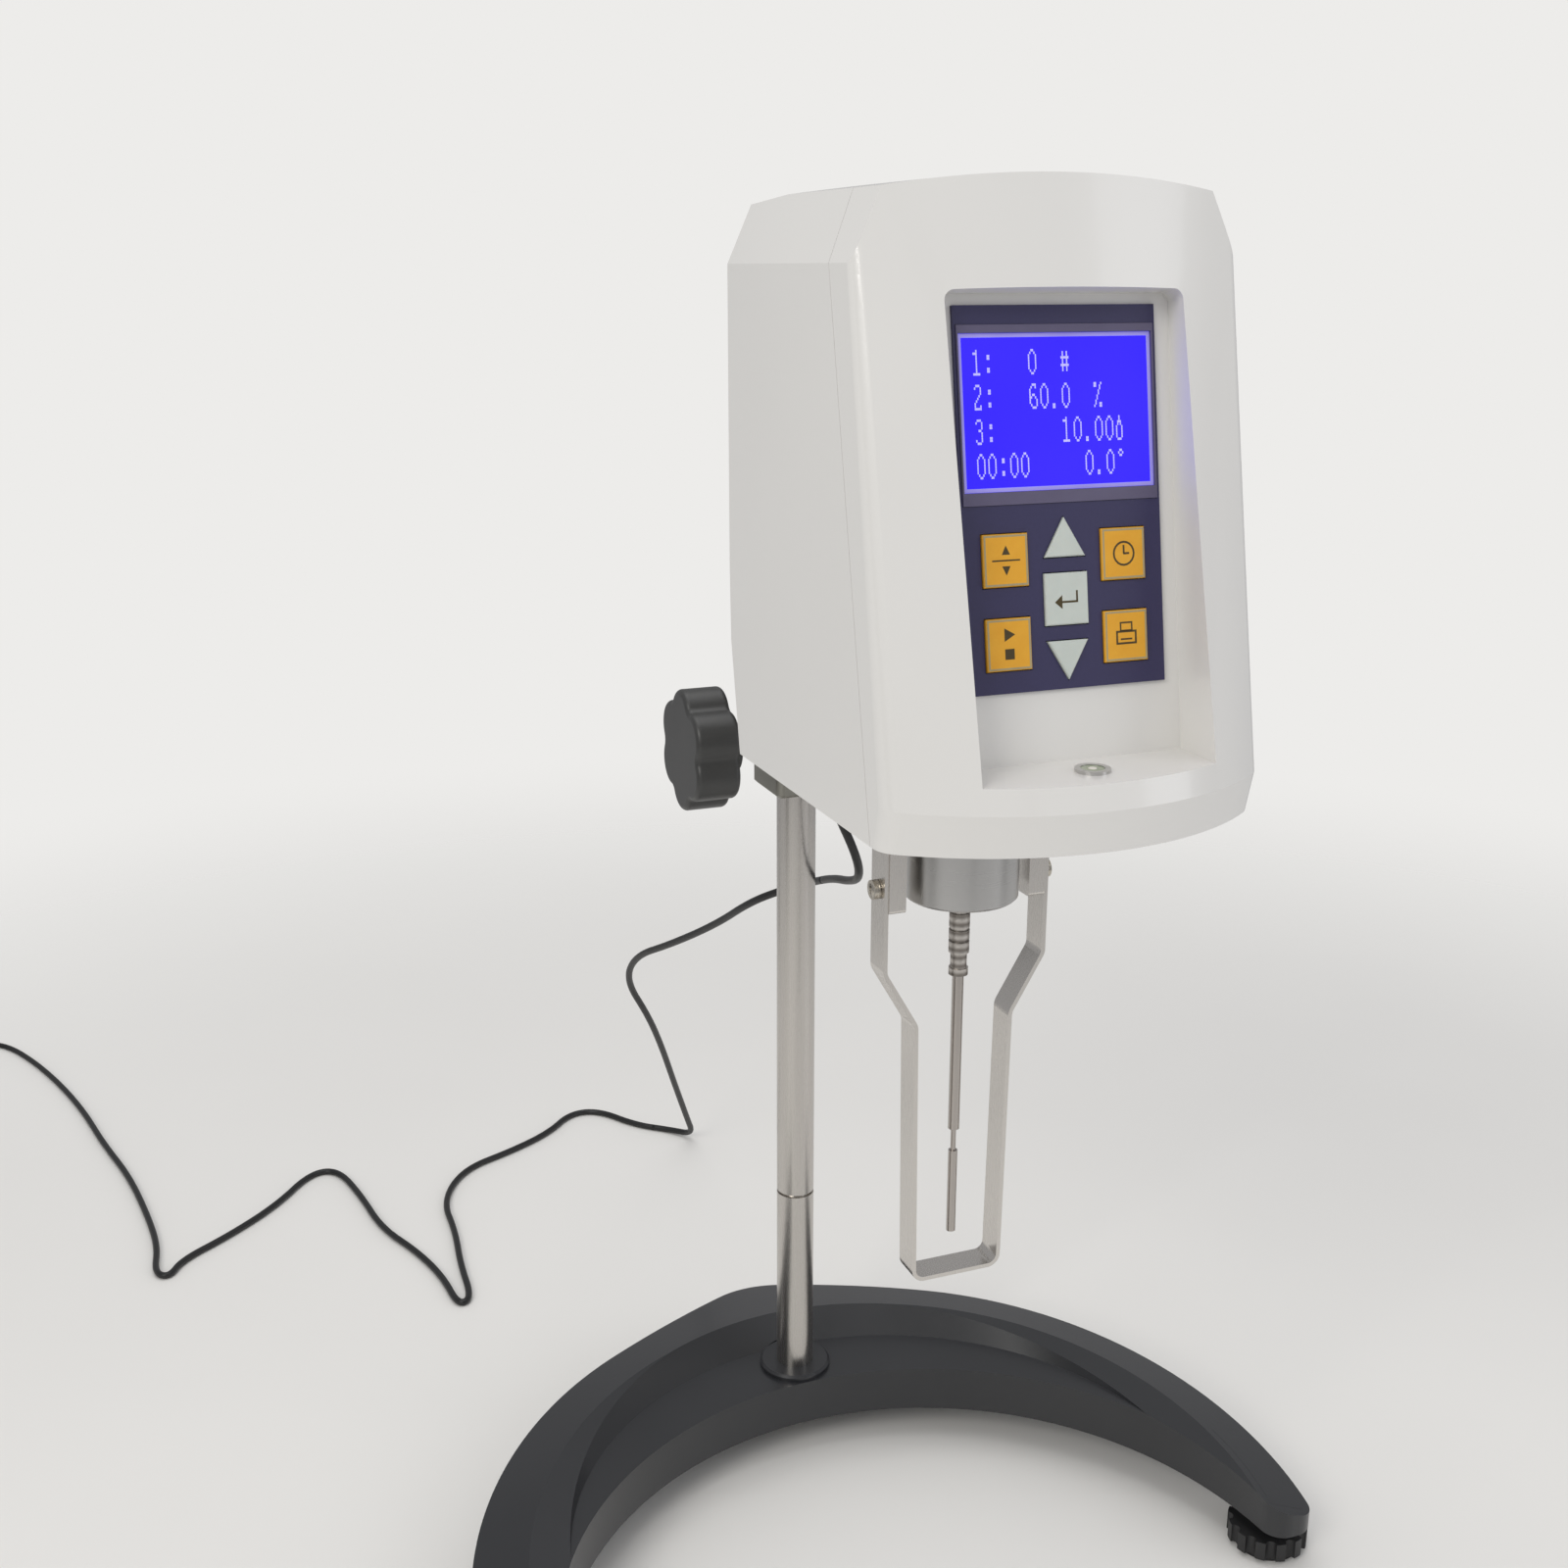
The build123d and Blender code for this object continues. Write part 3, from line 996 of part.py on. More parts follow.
case_back = COIL_Y - ADAPTOR_BOSS
case_front = case_back - ADAPTOR_L
adaptor = block(adaptor_x - ADAPTOR_W / 2, adaptor_x + ADAPTOR_W / 2, case_front, case_back,
                BENCH_GAP, ADAPTOR_H)
adaptor = fillet(adaptor.edges(), 3.0)
adaptor += rod_y(CORD_D + 3, case_back - 1, COIL_Y + 3, adaptor_x, bench + ADAPTOR_CORD_Z)
for side in (-1, 1):
    pin_x = adaptor_x + side * PIN_PITCH / 2
    adaptor += block(pin_x - PIN_T / 2, pin_x + PIN_T / 2, case_front - PIN_L, case_front + 1,
                     ADAPTOR_H / 2 - PIN_W / 2, ADAPTOR_H / 2 + PIN_W / 2)
add("wall_adaptor", adaptor)

# ---------------------------------------------------------------- write the files
foremost_y = PARTS["front_housing"].bounding_box().min.Y
rearmost_y = PARTS["base_body"].bounding_box().max.Y
shift = -(foremost_y + rearmost_y) / 2
print("shift", round(shift, 3))
os.makedirs("parts", exist_ok=True)
for name, shape in PARTS.items():
    solids = [Pos(0, shift, 0) * solid for solid in shape.solids()]
    export_step(Compound(solids) if len(solids) > 1 else solids[0], f"parts/{name}.step")
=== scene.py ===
# %% [markdown]
# # A rotational viscometer on its stand
# The instrument turns a thin steel spindle in a liquid and reads the drag on it. The solid parts are
# already modelled to size; this lesson loads them as a fixed frame and gives them their surfaces.
# It adds what is too fine or too soft for a solid model: the lead, the lit display, the printed keys.

# %% Load the solid model
import bpy
import bmesh
from math import cos, pi, radians, sin, tan
from mathutils import Matrix, Vector


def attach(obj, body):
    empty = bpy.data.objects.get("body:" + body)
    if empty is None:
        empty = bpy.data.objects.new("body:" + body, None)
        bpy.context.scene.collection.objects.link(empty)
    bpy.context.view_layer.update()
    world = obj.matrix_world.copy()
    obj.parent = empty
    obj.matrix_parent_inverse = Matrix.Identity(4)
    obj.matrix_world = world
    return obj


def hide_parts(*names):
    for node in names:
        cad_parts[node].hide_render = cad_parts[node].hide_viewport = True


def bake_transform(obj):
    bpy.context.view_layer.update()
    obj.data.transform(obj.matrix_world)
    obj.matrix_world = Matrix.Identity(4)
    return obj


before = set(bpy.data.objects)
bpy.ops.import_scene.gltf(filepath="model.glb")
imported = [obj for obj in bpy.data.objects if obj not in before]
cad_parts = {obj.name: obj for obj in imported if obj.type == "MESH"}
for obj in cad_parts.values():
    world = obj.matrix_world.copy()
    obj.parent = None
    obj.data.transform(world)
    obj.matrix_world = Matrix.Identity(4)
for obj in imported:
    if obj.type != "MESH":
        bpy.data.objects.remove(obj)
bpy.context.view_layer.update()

COLUMN_Y = 0.09025           # the column's axis stands at x = 0 and this y
SPINDLE_Y = COLUMN_Y - 0.149

# %% [markdown]
# ## The camera
# A camera can be aimed with a constraint or with angles. Here three angles are turned into three
# axes, because a small roll about the lens axis is easy to add that way. The lens is a normal one
# of about 41 mm, which shows near and far edges in a natural proportion.

# %% Camera
PICTURE = 1600
FOCAL_PIXELS = 1833.67
SHIFT_PIXELS = 4.77
SENSOR = 36.0
YAW = radians(21.1)
PITCH = radians(16.08)
ROLL = radians(0.04)
STANDPOINT = (-0.25777, COLUMN_Y - 0.65415, 0.50495)


def added(name, data):
    """A new object in the scene, made from camera, lamp, curve or mesh data."""
    made = bpy.data.objects.new(name, data)
    bpy.context.scene.collection.objects.link(made)
    return made


def aim(yaw, pitch, roll):
    """Camera axes as columns: right, up and backwards."""
    ahead = Vector((sin(yaw) * cos(pitch), cos(yaw) * cos(pitch), -sin(pitch)))
    level = Vector((cos(yaw), -sin(yaw), 0))
    upright = level.cross(ahead)
    right = level * cos(roll) + upright * sin(roll)
    up = upright * cos(roll) - level * sin(roll)
    return Matrix((right, up, -ahead)).transposed()


camera = added("camera", bpy.data.cameras.new("camera"))
camera.data.sensor_width = SENSOR
camera.data.lens = FOCAL_PIXELS * SENSOR / PICTURE
camera.data.shift_y = SHIFT_PIXELS / PICTURE
camera.data.clip_end = 30
camera.matrix_world = Matrix.Translation(STANDPOINT) @ aim(YAW, PITCH, ROLL).to_4x4()
bpy.context.scene.camera = camera
print("lens", round(camera.data.lens, 2), "mm")

# %% [markdown]
# ## Colour and material helpers
# Paint and plastic colours are quoted as sRGB hex, the way a colour card gives them. Blender works
# in linear light, so one function converts them. A second one adds a shader node together with its
# settings and links, which keeps every material below to a few lines.


# %% Colours to linear light
def linear(code):
    """An sRGB hex colour as linear red, green, blue and alpha."""
    parts = [int(code[i:i + 2], 16) / 255 for i in (1, 3, 5)]
    parts = [c / 12.92 if c <= 0.04045 else ((c + 0.055) / 1.055) ** 2.4 for c in parts]
    return (*parts, 1.0)


print("mid grey is", round(linear("#808080")[0], 3), "in linear light")


# %% One node with its settings and links
def put(tree, kind, links=None, **settings):
    """Adds a node. Links are input names with a value or another node's output."""
    made = tree.nodes.new(kind)
    for key, value in settings.items():
        setattr(made, key, value)
    for key, value in (links or {}).items():
        if isinstance(value, bpy.types.NodeSocket):
            tree.links.new(value, made.inputs[key])
        else:
            made.inputs[key].default_value = value
    return made


# %% A new material with plain shader values
def surface(name, colour, rough, metal=0.0, ior=1.5):
    """A material, its tree, its main shader and object coordinates in metres."""
    made = bpy.data.materials.new(name)
    made.use_nodes = True
    tree = made.node_tree
    shader = tree.nodes["Principled BSDF"]
    shader.inputs["Base Color"].default_value = linear(colour)
    shader.inputs["Roughness"].default_value = rough
    shader.inputs["Metallic"].default_value = metal
    shader.inputs["IOR"].default_value = ior
    made.diffuse_color = linear(colour)
    place = put(tree, "ShaderNodeTexCoord").outputs["Object"]
    return made, tree, shader, place


def mottle(tree, place, shader, size_mm, dark, light, detail=3.0):
    """Slow colour variation of a given size between two colours."""
    noise = put(tree, "ShaderNodeTexNoise",
                {"Vector": place, "Scale": 1000 / size_mm, "Detail": detail})
    mix = put(tree, "ShaderNodeMix", {0: noise.outputs["Fac"]}, data_type="RGBA")
    mix.inputs[6].default_value = linear(dark)
    mix.inputs[7].default_value = linear(light)
    tree.links.new(mix.outputs[2], shader.inputs["Base Color"])
    return mix.outputs[2]


def bumps(tree, shader, height, depth_mm, strength=1.0):
    """Turns a height from 0 to 1 into relief of a depth in millimetres."""
    bump = put(tree, "ShaderNodeBump",
               {"Height": height, "Distance": depth_mm / 1000, "Strength": strength})
    tree.links.new(bump.outputs["Normal"], shader.inputs["Normal"])


def grain(tree, place, shader, size_mm, depth_mm, strength, detail=3.0):
    """An even grain of a given size and depth in millimetres, as relief."""
    noise = put(tree, "ShaderNodeTexNoise",
                {"Vector": place, "Scale": 1000 / size_mm, "Detail": detail})
    bumps(tree, shader, noise.outputs["Fac"], depth_mm, strength)


def coated(shader, weight, rough):
    """A clear top coat over the colour."""
    shader.inputs["Coat Weight"].default_value = weight
    shader.inputs["Coat Roughness"].default_value = rough


def glowing(tree, shader, colour, strength):
    """Light from behind the surface, in a colour from another node."""
    tree.links.new(colour, shader.inputs["Emission Color"])
    shader.inputs["Emission Strength"].default_value = strength


def stretched(tree, place, sizes_mm):
    """Coordinates that count grains, from a grain's size along x, y and z in millimetres."""
    factors = [1000 / size for size in sizes_mm]
    return put(tree, "ShaderNodeMapping", {"Vector": place, "Scale": factors}).outputs["Vector"]


# %% [markdown]
# ## The lead
# The power lead is a thin, soft PVC cord, 3.4 mm across and about 2.2 m long. It leaves the back of
# the head, hangs behind the column and lies on the bench in the loose folds that it kept from its
# packing. A NURBS curve of order 3 with one control point for each bend gives such a line with no
# corners. The spare length is a small tied coil next to the power adaptor.

# %% Route of the lead, in millimetres from the column's foot
LEAD_D = 0.0034
LIE = 1.75                   # middle of the lead above the bench


def from_column(points):
    """Places in millimetres from the column's foot, as metres in the frame."""
    return [(x / 1000, y / 1000 + COLUMN_Y, z / 1000) for x, y, z in points]


HANGING_HIGH = from_column([
    (-24, -67.7, 412), (-24, -48, 412), (-22, -42, 398), (-20, -43, 370), (-16, -50, 340), (-8, -59, 312),
    (1, -60, 292), (7, -50, 279), (12, -28, 270), (16, -2, 262.5), (17, 11, 257.5),
])
HANGING_LOW = from_column([
    (17, 11, 257.5), (18, 24, 252.5), (12, 42, 244), (1, 58, 234), (-4, 90, 213), (-14, 130, 190),
    (-22, 166, 172), (-21, 188, 150), (-5, 203, 122), (8, 222, 94), (22, 246, 60), (38, 272, 22),
    (46, 285, 3.6), (36, 299, LIE), (27, 306, LIE),
])
FOLDS = [
    (27, 306), (18, 313), (2, 340), (-16, 342), (-34, 322), (-60, 307), (-92, 294), (-110, 262),
    (-110, 226), (-114, 192), (-115, 157), (-123, 153), (-125, 182), (-133, 212), (-147, 244), (-152, 284),
    (-160, 320), (-176, 321), (-198, 290), (-226, 265), (-251, 248), (-258, 233), (-265, 240), (-262, 268),
    (-266, 306), (-274, 356), (-287, 404), (-297, 452), (-311, 500), (-328, 545), (-345, 578),
    (-362, 588), (-384, 586.7),
]
ON_BENCH = from_column([(x, y, LIE) for x, y in FOLDS])
TO_ADAPTOR = from_column([
    (-384, 586.7, 5.15), (-405, 590, 4.35), (-428, 597, 2.35), (-446, 597, 4.25), (-457, 584, 7.75),
    (-457, 569, 8.75),
])
print("route points", len(HANGING_HIGH + HANGING_LOW + ON_BENCH + TO_ADAPTOR))

# %% [markdown]
# The coil has two turns side by side on each of two layers. Twelve control points a turn are enough,
# and because such a curve runs inside its control points, they stand 3.5 % outside the turn.

# %% Turns of the coil
COIL_CENTRE = (-0.384, COLUMN_Y + 0.566)
COIL_STEPS = 12
COIL_CUTS_IN = 0.966         # the curve's radius as a share of its control points'
WIDE_TURN = 0.0207
NARROW_TURN = 0.0173
LOWER_LAYER = 0.00175
UPPER_LAYER = 0.00515


def coil_turns():
    """Control points of the wound part, outside turn first, then inside, then back on top."""
    turns = [(WIDE_TURN, LOWER_LAYER), (NARROW_TURN, LOWER_LAYER),
             (NARROW_TURN, UPPER_LAYER), (WIDE_TURN, UPPER_LAYER)]
    x, y = COIL_CENTRE
    points = []
    for step in range(1, len(turns) * COIL_STEPS):
        turn = step / COIL_STEPS
        radius, height = turns[int(turn)]
        angle = pi / 2 + turn * 2 * pi
        radius = radius / COIL_CUTS_IN
        points.append((x + radius * cos(angle), y + radius * sin(angle), height))
    return points


print("coil points", len(coil_turns()))


# %% Curves and tubes
def spline(name, points, across=0.0):
    """An open NURBS curve through the bends of a route. Its points carry the tube's radius."""
    data = bpy.data.curves.new(name, "CURVE")
    data.dimensions = "3D"
    data.bevel_depth = 1.0 if across else 0.0
    data.bevel_resolution = 5
    data.resolution_u = 10
    data.use_fill_caps = True
    line = data.splines.new("NURBS")
    line.points.add(len(points) - 1)
    for target, point in zip(line.points, points):
        target.co = (*point, 1)
        target.radius = across / 2
    line.order_u = 3
    line.use_endpoint_u = True
    return added(name, data)


def read_line(points):
    """Evenly spread points along the smooth curve of a route."""
    guide = spline("guide", points)
    mesh = bpy.data.meshes.new_from_object(guide)
    line = [v.co.copy() for v in mesh.vertices]
    bpy.data.objects.remove(guide)
    bpy.data.meshes.remove(mesh)
    return line


def closed(name, shape):
    """An object from mesh code, with all its faces turned outward."""
    bmesh.ops.recalc_face_normals(shape, faces=shape.faces)
    mesh = bpy.data.meshes.new(name)
    shape.to_mesh(mesh)
    shape.free()
    return added(name, mesh)


def tube(name, line, across, sides=14):
    """A round mesh tube that follows points, with its rings kept from twisting."""
    shape = bmesh.new()
    side = Vector((1, 0, 0))
    rings = []
    for i, centre in enumerate(line):
        along = (line[min(i + 1, len(line) - 1)] - line[max(i - 1, 0)]).normalized()
        side = (side - along * side.dot(along)).normalized()
        other = along.cross(side)
        angles = [2 * pi * k / sides for k in range(sides)]
        places = [centre + (side * cos(a) + other * sin(a)) * across / 2 for a in angles]
        rings.append([shape.verts.new(point) for point in places])
    for low, high in zip(rings, rings[1:]):
        for k in range(sides):
            shape.faces.new((low[k], low[k - 1], high[k - 1], high[k])).smooth = True
    shape.faces.new(rings[0])
    shape.faces.new(reversed(rings[-1]))
    return closed(name, shape)


def measured(line):
    """The length of a line of points, in metres."""
    return sum((b - a).length for a, b in zip(line, line[1:]))


# %% [markdown]
# Soft PVC has a satin skin, not a gloss: the dies leave fine lines along it, and handling leaves it
# slightly uneven. It is drawn with a middling roughness and a grain of about a millimetre.

# %% Soft PVC
soft_pvc, tree, shader, place = surface("soft_pvc_extruded", "#121213", 0.42, ior=1.53)
grain(tree, place, shader, 1.11, 0.05, 0.4)
mottle(tree, place, shader, 12, "#0F0F10", "#171718")

# %% The lead in three stretches
high_line = read_line(HANGING_HIGH)
lead_high = tube("lead_from_head", high_line, LEAD_D)
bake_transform(lead_high)
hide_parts("cord_hanging_high")

low_line = read_line(HANGING_LOW)
lead_low = tube("lead_to_bench", low_line, LEAD_D)
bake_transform(lead_low)
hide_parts("cord_hanging_low")

bench_route = ON_BENCH + coil_turns() + TO_ADAPTOR
lead_bench = spline("lead_on_bench", bench_route, LEAD_D)
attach(lead_bench, "stand")
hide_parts("cord_on_bench", "cord_coil", "cord_to_adaptor")
bench_length = measured(read_line(bench_route))
for piece in (lead_high, lead_low, lead_bench):
    piece.data.materials.append(soft_pvc)
print("lead", round(measured(high_line), 3), round(measured(low_line), 3), round(bench_length, 3), "m")

# %% [markdown]
# ## The head's shell
# The two half shells are injection-moulded ABS, sprayed gloss white. A sprayed surface is never quite
# flat: it has an orange peel of one to two millimetres, shallow enough to show only in reflections.

# %% Sprayed ABS
sprayed_abs, tree, shader, place = surface("abs_sprayed_gloss_white", "#E3E1DD", 0.24, ior=1.52)
grain(tree, place, shader, 1.54, 0.02, 0.35, 2.0)
mottle(tree, place, shader, 90, "#E0DEDA", "#E6E4E0", 2.0)
coated(shader, 0.35, 0.08)
print(sprayed_abs.name)

# %% [markdown]
# ## The panel film
# The navy keypad overlay is a polyester film printed on its back. Its front has a fine velvet
# texture, about 0.15 mm, drawn here at 0.4 mm so that it shows, and it spreads highlights wide.

# %% Polyester film
navy_film, tree, shader, place = surface("polyester_film_velvet_navy", "#2E2A52", 0.46, ior=1.57)
grain(tree, place, shader, 0.4, 0.02, 0.5, 2.0)
mottle(tree, place, shader, 0.9, "#2B274E", "#312D57")
print(navy_film.name)

# %% [markdown]
# ## The keys
# The keys are silicone domes with a printed top. Silicone is matt and lets a little light into its
# surface, which softens the shade at its edges, so a small amount of subsurface is enough.


# %% Printed silicone
def silicone(name, colour, dark, light):
    """Matt silicone or the ink on it, whose colour wanders between dark and light."""
    made, tree, shader, place = surface(name, colour, 0.5, ior=1.41)
    grain(tree, place, shader, 0.556, 0.02, 0.5)
    mottle(tree, place, shader, 5, dark, light)
    shader.inputs["Subsurface Weight"].default_value = 0.08
    shader.inputs["Subsurface Radius"].default_value = (0.001, 0.0006, 0.0004)
    return made


amber_silicone = silicone("silicone_printed_amber", "#E3A42B", "#DE9D25", "#E9AE35")
grey_silicone = silicone("silicone_printed_grey", "#C6CCC5", "#C0C7C0", "#CDD2CB")
khaki_ink = silicone("screen_ink_khaki", "#A79A74", "#A09370", "#AFA27C")
umber_ink = silicone("screen_ink_umber", "#4B3E23", "#463A20", "#524527")
print("keys", amber_silicone.name, grey_silicone.name)

# %% [markdown]
# ## The display
# A blue graphic display is lit from behind: the glass glows evenly, with a faint grid between its
# dots, and the lit dots are a pale violet. The glow is a modest emission, so that it stays blue.

# %% Lit display materials
lit_blue, tree, shader, place = surface("display_glass_lit_blue", "#2413C8", 0.12, ior=1.5)
DOT_GRID = 0.6               # millimetres
ALONG_GLASS = (1, 0, 1.013)  # the glass leans back, so it is a little longer than it is high
on_glass = put(tree, "ShaderNodeMapping", {"Vector": place, "Scale": ALONG_GLASS})
dots = put(tree, "ShaderNodeTexBrick",
           {"Vector": on_glass.outputs["Vector"], "Scale": 1000 / DOT_GRID, "Mortar Size": 0.06,
            "Color1": linear("#2A14F2"), "Color2": linear("#2A14F2"), "Mortar": linear("#2410DA")},
           offset=0.0)
glow = put(tree, "ShaderNodeTexNoise", {"Vector": place, "Scale": 1000 / 33.3, "Detail": 1.0})
mix = put(tree, "ShaderNodeMix", {0: glow.outputs["Fac"], 6: dots.outputs["Color"]}, data_type="RGBA")
mix.inputs[7].default_value = linear("#3322FA")
glowing(tree, shader, mix.outputs[2], 0.85)

lit_dot, tree, shader, place = surface("display_dot_pale_violet", "#A9A4F5", 0.3)
glowing(tree, shader, mottle(tree, place, shader, 4, "#9D97F2", "#B9B4F8"), 0.55)

edge_glow, tree, shader, place = surface("diffuser_edge_violet", "#8F88D6", 0.35)
glowing(tree, shader, mottle(tree, place, shader, 14, "#8078CC", "#A099E2"), 0.35)

satin_frame, tree, shader, place = surface("abs_moulded_satin_grey", "#5B5570", 0.45, ior=1.52)
grain(tree, place, shader, 0.667, 0.02, 0.4, 2.0)
mottle(tree, place, shader, 8, "#56506A", "#625C77")
print(lit_blue.name, lit_dot.name, edge_glow.name, satin_frame.name)

# %% [markdown]
# ## Metals
# The measuring parts are stainless steel. What the eye sees is how each was finished: the cup is
# turned, so its lines run round it; the guard is brushed strip and the column a brushed rod, both
# with lines along them. Noise squeezed along one axis draws such lines.


# %% Brushed and turned metal
def lined_metal(name, colour, rough, sizes_mm, depth_mm=0.02, strength=0.5, spread=0.08):
    """Metal with fine lines, whose grain is long along the finish and short across it."""
    made, tree, shader, place = surface(name, colour, rough, metal=1.0)
    lines = put(tree, "ShaderNodeTexNoise",
                {"Vector": stretched(tree, place, sizes_mm), "Scale": 1.0, "Detail": 4.0})
    bumps(tree, shader, lines.outputs["Fac"], depth_mm, strength)
    band = put(tree, "ShaderNodeMapRange", {"Value": lines.outputs["Fac"],
                                            "To Min": max(rough - spread, 0.03),
                                            "To Max": rough + spread})
    tree.links.new(band.outputs["Result"], shader.inputs["Roughness"])
    return made


turned_steel = lined_metal("stainless_steel_turned", "#C9C8C6", 0.30, (16.7, 16.7, 0.286))
brushed_strip = lined_metal("stainless_strip_brushed", "#D6D2CD", 0.26, (0.4, 0.4, 16.7))
ground_rod = lined_metal("steel_rod_ground", "#B5AFAA", 0.24, (0.556, 0.556, 33.3), 0.01, 0.3, 0.06)
drawn_column = lined_metal("steel_column_brushed", "#C9C5C0", 0.27, (0.667, 0.667, 125), 0.015, 0.4)
blasted_alloy = lined_metal("aluminium_bead_blasted", "#9C9A92", 0.48, (0.714, 0.714, 0.714), 0.05, 0.6)
machined_alloy = lined_metal("aluminium_milled", "#C4C4C6", 0.32, (11.1, 0.455, 0.455))
nickel_screw = lined_metal("steel_screw_nickel_plated", "#BFB9AE", 0.22, (1.11, 1.11, 1.11), 0.01, 0.3)
spring_brass = lined_metal("brass_rolled", "#C8A256", 0.28, (0.667, 0.667, 11.1))
print("cup", turned_steel.name, "guard", brushed_strip.name, "column", drawn_column.name)

# %% [markdown]
# The knurled nut that holds the spindle has bands of grooves cut round it. They are too fine to
# model, so a wave in the height draws the bands and a pattern of cells draws the knurl. The same
# wave paints the colour: darker in the grooves as painted shade, lighter between them as a painted glint.

# %% Knurled steel
knurled_steel, tree, shader, place = surface("stainless_steel_knurled", "#A79F99", 0.4, metal=1.0)
BAND_SCALE = 105.0           # the wave's pitch is pi / 10 over its scale, here 3 mm
bands = put(tree, "ShaderNodeTexWave", {"Vector": place, "Scale": BAND_SCALE, "Distortion": 0.0},
            bands_direction="Z")
diamonds = put(tree, "ShaderNodeTexVoronoi", {"Vector": place, "Scale": 1000 / 0.909})
both = put(tree, "ShaderNodeMath", {0: bands.outputs["Fac"], 1: diamonds.outputs["Distance"]},
           operation="MULTIPLY")
bumps(tree, shader, both.outputs["Value"], 0.12, 0.6)
# Painted shade and glint: dark in the low, grooved part of the wave and light on its crests.
band_shade_and_glint = put(tree, "ShaderNodeMix", {0: bands.outputs["Fac"]}, data_type="RGBA")
band_shade_and_glint.inputs[6].default_value = linear("#8C8680")
band_shade_and_glint.inputs[7].default_value = linear("#CFCAC4")
tree.links.new(band_shade_and_glint.outputs[2], shader.inputs["Base Color"])
print(knurled_steel.name)

# %% [markdown]
# ## Black parts
# The base is cast iron under a thick black enamel, which flows over the casting's skin and leaves
# a soft waviness. The hand knob is phenolic, harder and a little greyer, with a moulded satin skin.

# %% Enamel, phenolic and moulded black
black_enamel, tree, shader, place = surface("cast_iron_black_enamel", "#222326", 0.36, ior=1.5)
grain(tree, place, shader, 2.38, 0.05, 0.4)
mottle(tree, place, shader, 45, "#1F2023", "#27282B")
coated(shader, 0.25, 0.2)

black_phenolic, tree, shader, place = surface("phenolic_moulded_black", "#333332", 0.42, ior=1.6)
grain(tree, place, shader, 1.43, 0.04, 0.4)
mottle(tree, place, shader, 20, "#2F2F2E", "#393938")

moulded_black, tree, shader, place = surface("nylon_moulded_black", "#1F1F20", 0.5, ior=1.53)
grain(tree, place, shader, 0.833, 0.06, 0.6)
mottle(tree, place, shader, 10, "#1B1B1C", "#252526")
print(black_enamel.name, black_phenolic.name, moulded_black.name)

# %% [markdown]
# ## Small inside parts and the level
# The sliding liner is acetal, milky and waxy. The circuit boards are glass cloth under a green
# solder mask, so a faint weave of 0.5 mm shows. The level is a vial of green spirit.

# %% Acetal, boards and vial
milky_acetal, tree, shader, place = surface("acetal_turned_natural", "#E4E0D6", 0.4, ior=1.48)
lines = put(tree, "ShaderNodeTexNoise",
            {"Vector": stretched(tree, place, (12.5, 12.5, 0.4)), "Scale": 1.0})
bumps(tree, shader, lines.outputs["Fac"], 0.02, 0.4)
mottle(tree, place, shader, 15, "#E0DCD1", "#E8E5DC")

solder_mask, tree, shader, place = surface("glass_cloth_board_green", "#17492A", 0.35, ior=1.55)
weave = put(tree, "ShaderNodeTexChecker", {"Vector": place, "Scale": 1000 / 0.5})
bumps(tree, shader, weave.outputs["Fac"], 0.01, 0.3)
mottle(tree, place, shader, 6, "#14432A", "#1C5230")

green_spirit, tree, shader, place = surface("level_spirit_green", "#B4BFA0", 0.08, ior=1.36)
mottle(tree, place, shader, 6, "#A8B494", "#C2CBB0")
shader.inputs["Transmission Weight"].default_value = 0.35
print(milky_acetal.name, solder_mask.name, green_spirit.name)

# %% Give every solid node its finish
FINISHES = {
    sprayed_abs: ["front_housing", "rear_housing"],
    navy_film: ["control_panel"],
    satin_frame: ["lcd_bezel"],
    lit_blue: ["lcd_glass"],
    amber_silicone: ["key_select", "key_timer", "key_run_stop", "key_print"],
    grey_silicone: ["key_up", "key_down", "key_enter"],
    solder_mask: ["circuit_boards"],
    green_spirit: ["level_vial"],
    turned_steel: ["bearing_cup", "level_ring", "probe_socket", "main_shaft"],
    brushed_strip: ["guard_frame", "guard_lugs"],
    ground_rod: ["spindle", "arm_rod", "drive_shaft"],
    drawn_column: ["column_lower", "column_upper"],
    blasted_alloy: ["clamp_block"],
    machined_alloy: ["lower_plate", "upper_plate", "chassis_posts", "drive_disc", "measuring_disc"],
    nickel_screw: ["housing_screws", "guard_screws", "arm_fasteners", "column_nut", "data_port"],
    spring_brass: ["hairspring", "shaft_bearing"],
    knurled_steel: ["spindle_coupling"],
    black_enamel: ["base_body", "column_socket", "motor"],
    black_phenolic: ["clamp_knob"],
    moulded_black: ["foot_front_left", "foot_front_right", "foot_rear", "opto_sensors", "power_jack",
                    "power_plug", "power_rocker", "switch_bezel", "coil_tie", "wall_adaptor"],
    milky_acetal: ["clamp_liner"],
    soft_pvc: ["cord_hanging_high", "cord_hanging_low", "cord_on_bench", "cord_coil", "cord_to_adaptor"],
}
for finish, names in FINISHES.items():
    for name in names:
        for slot in bpy.data.objects[name].material_slots:
            slot.material = finish
given = {name for names in FINISHES.values() for name in names}
print("finished nodes", len(given), "left", sorted(set(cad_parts) - given))

# %% [markdown]
# ## Print and pixels on the panel
# The panel leans back by 9.3 degrees. A small function turns a place on the panel, across, up and
# above its face, into a point in space, and all marks are flat faces laid on it in millimetres.

# %% Places on the panel
TILT = radians(9.3)
PANEL_ORIGIN = Vector((0, COLUMN_Y - 0.2008, 0.467))
PANEL_UP = Vector((0, sin(TILT), cos(TILT)))
PANEL_OUT = Vector((0, -cos(TILT), sin(TILT)))


def on_panel(across, up, out):
    """A point from millimetres across, up and out from the display's centre."""
    return PANEL_ORIGIN + Vector((across / 1000, 0, 0)) + PANEL_UP * (up / 1000) + PANEL_OUT * (out / 1000)


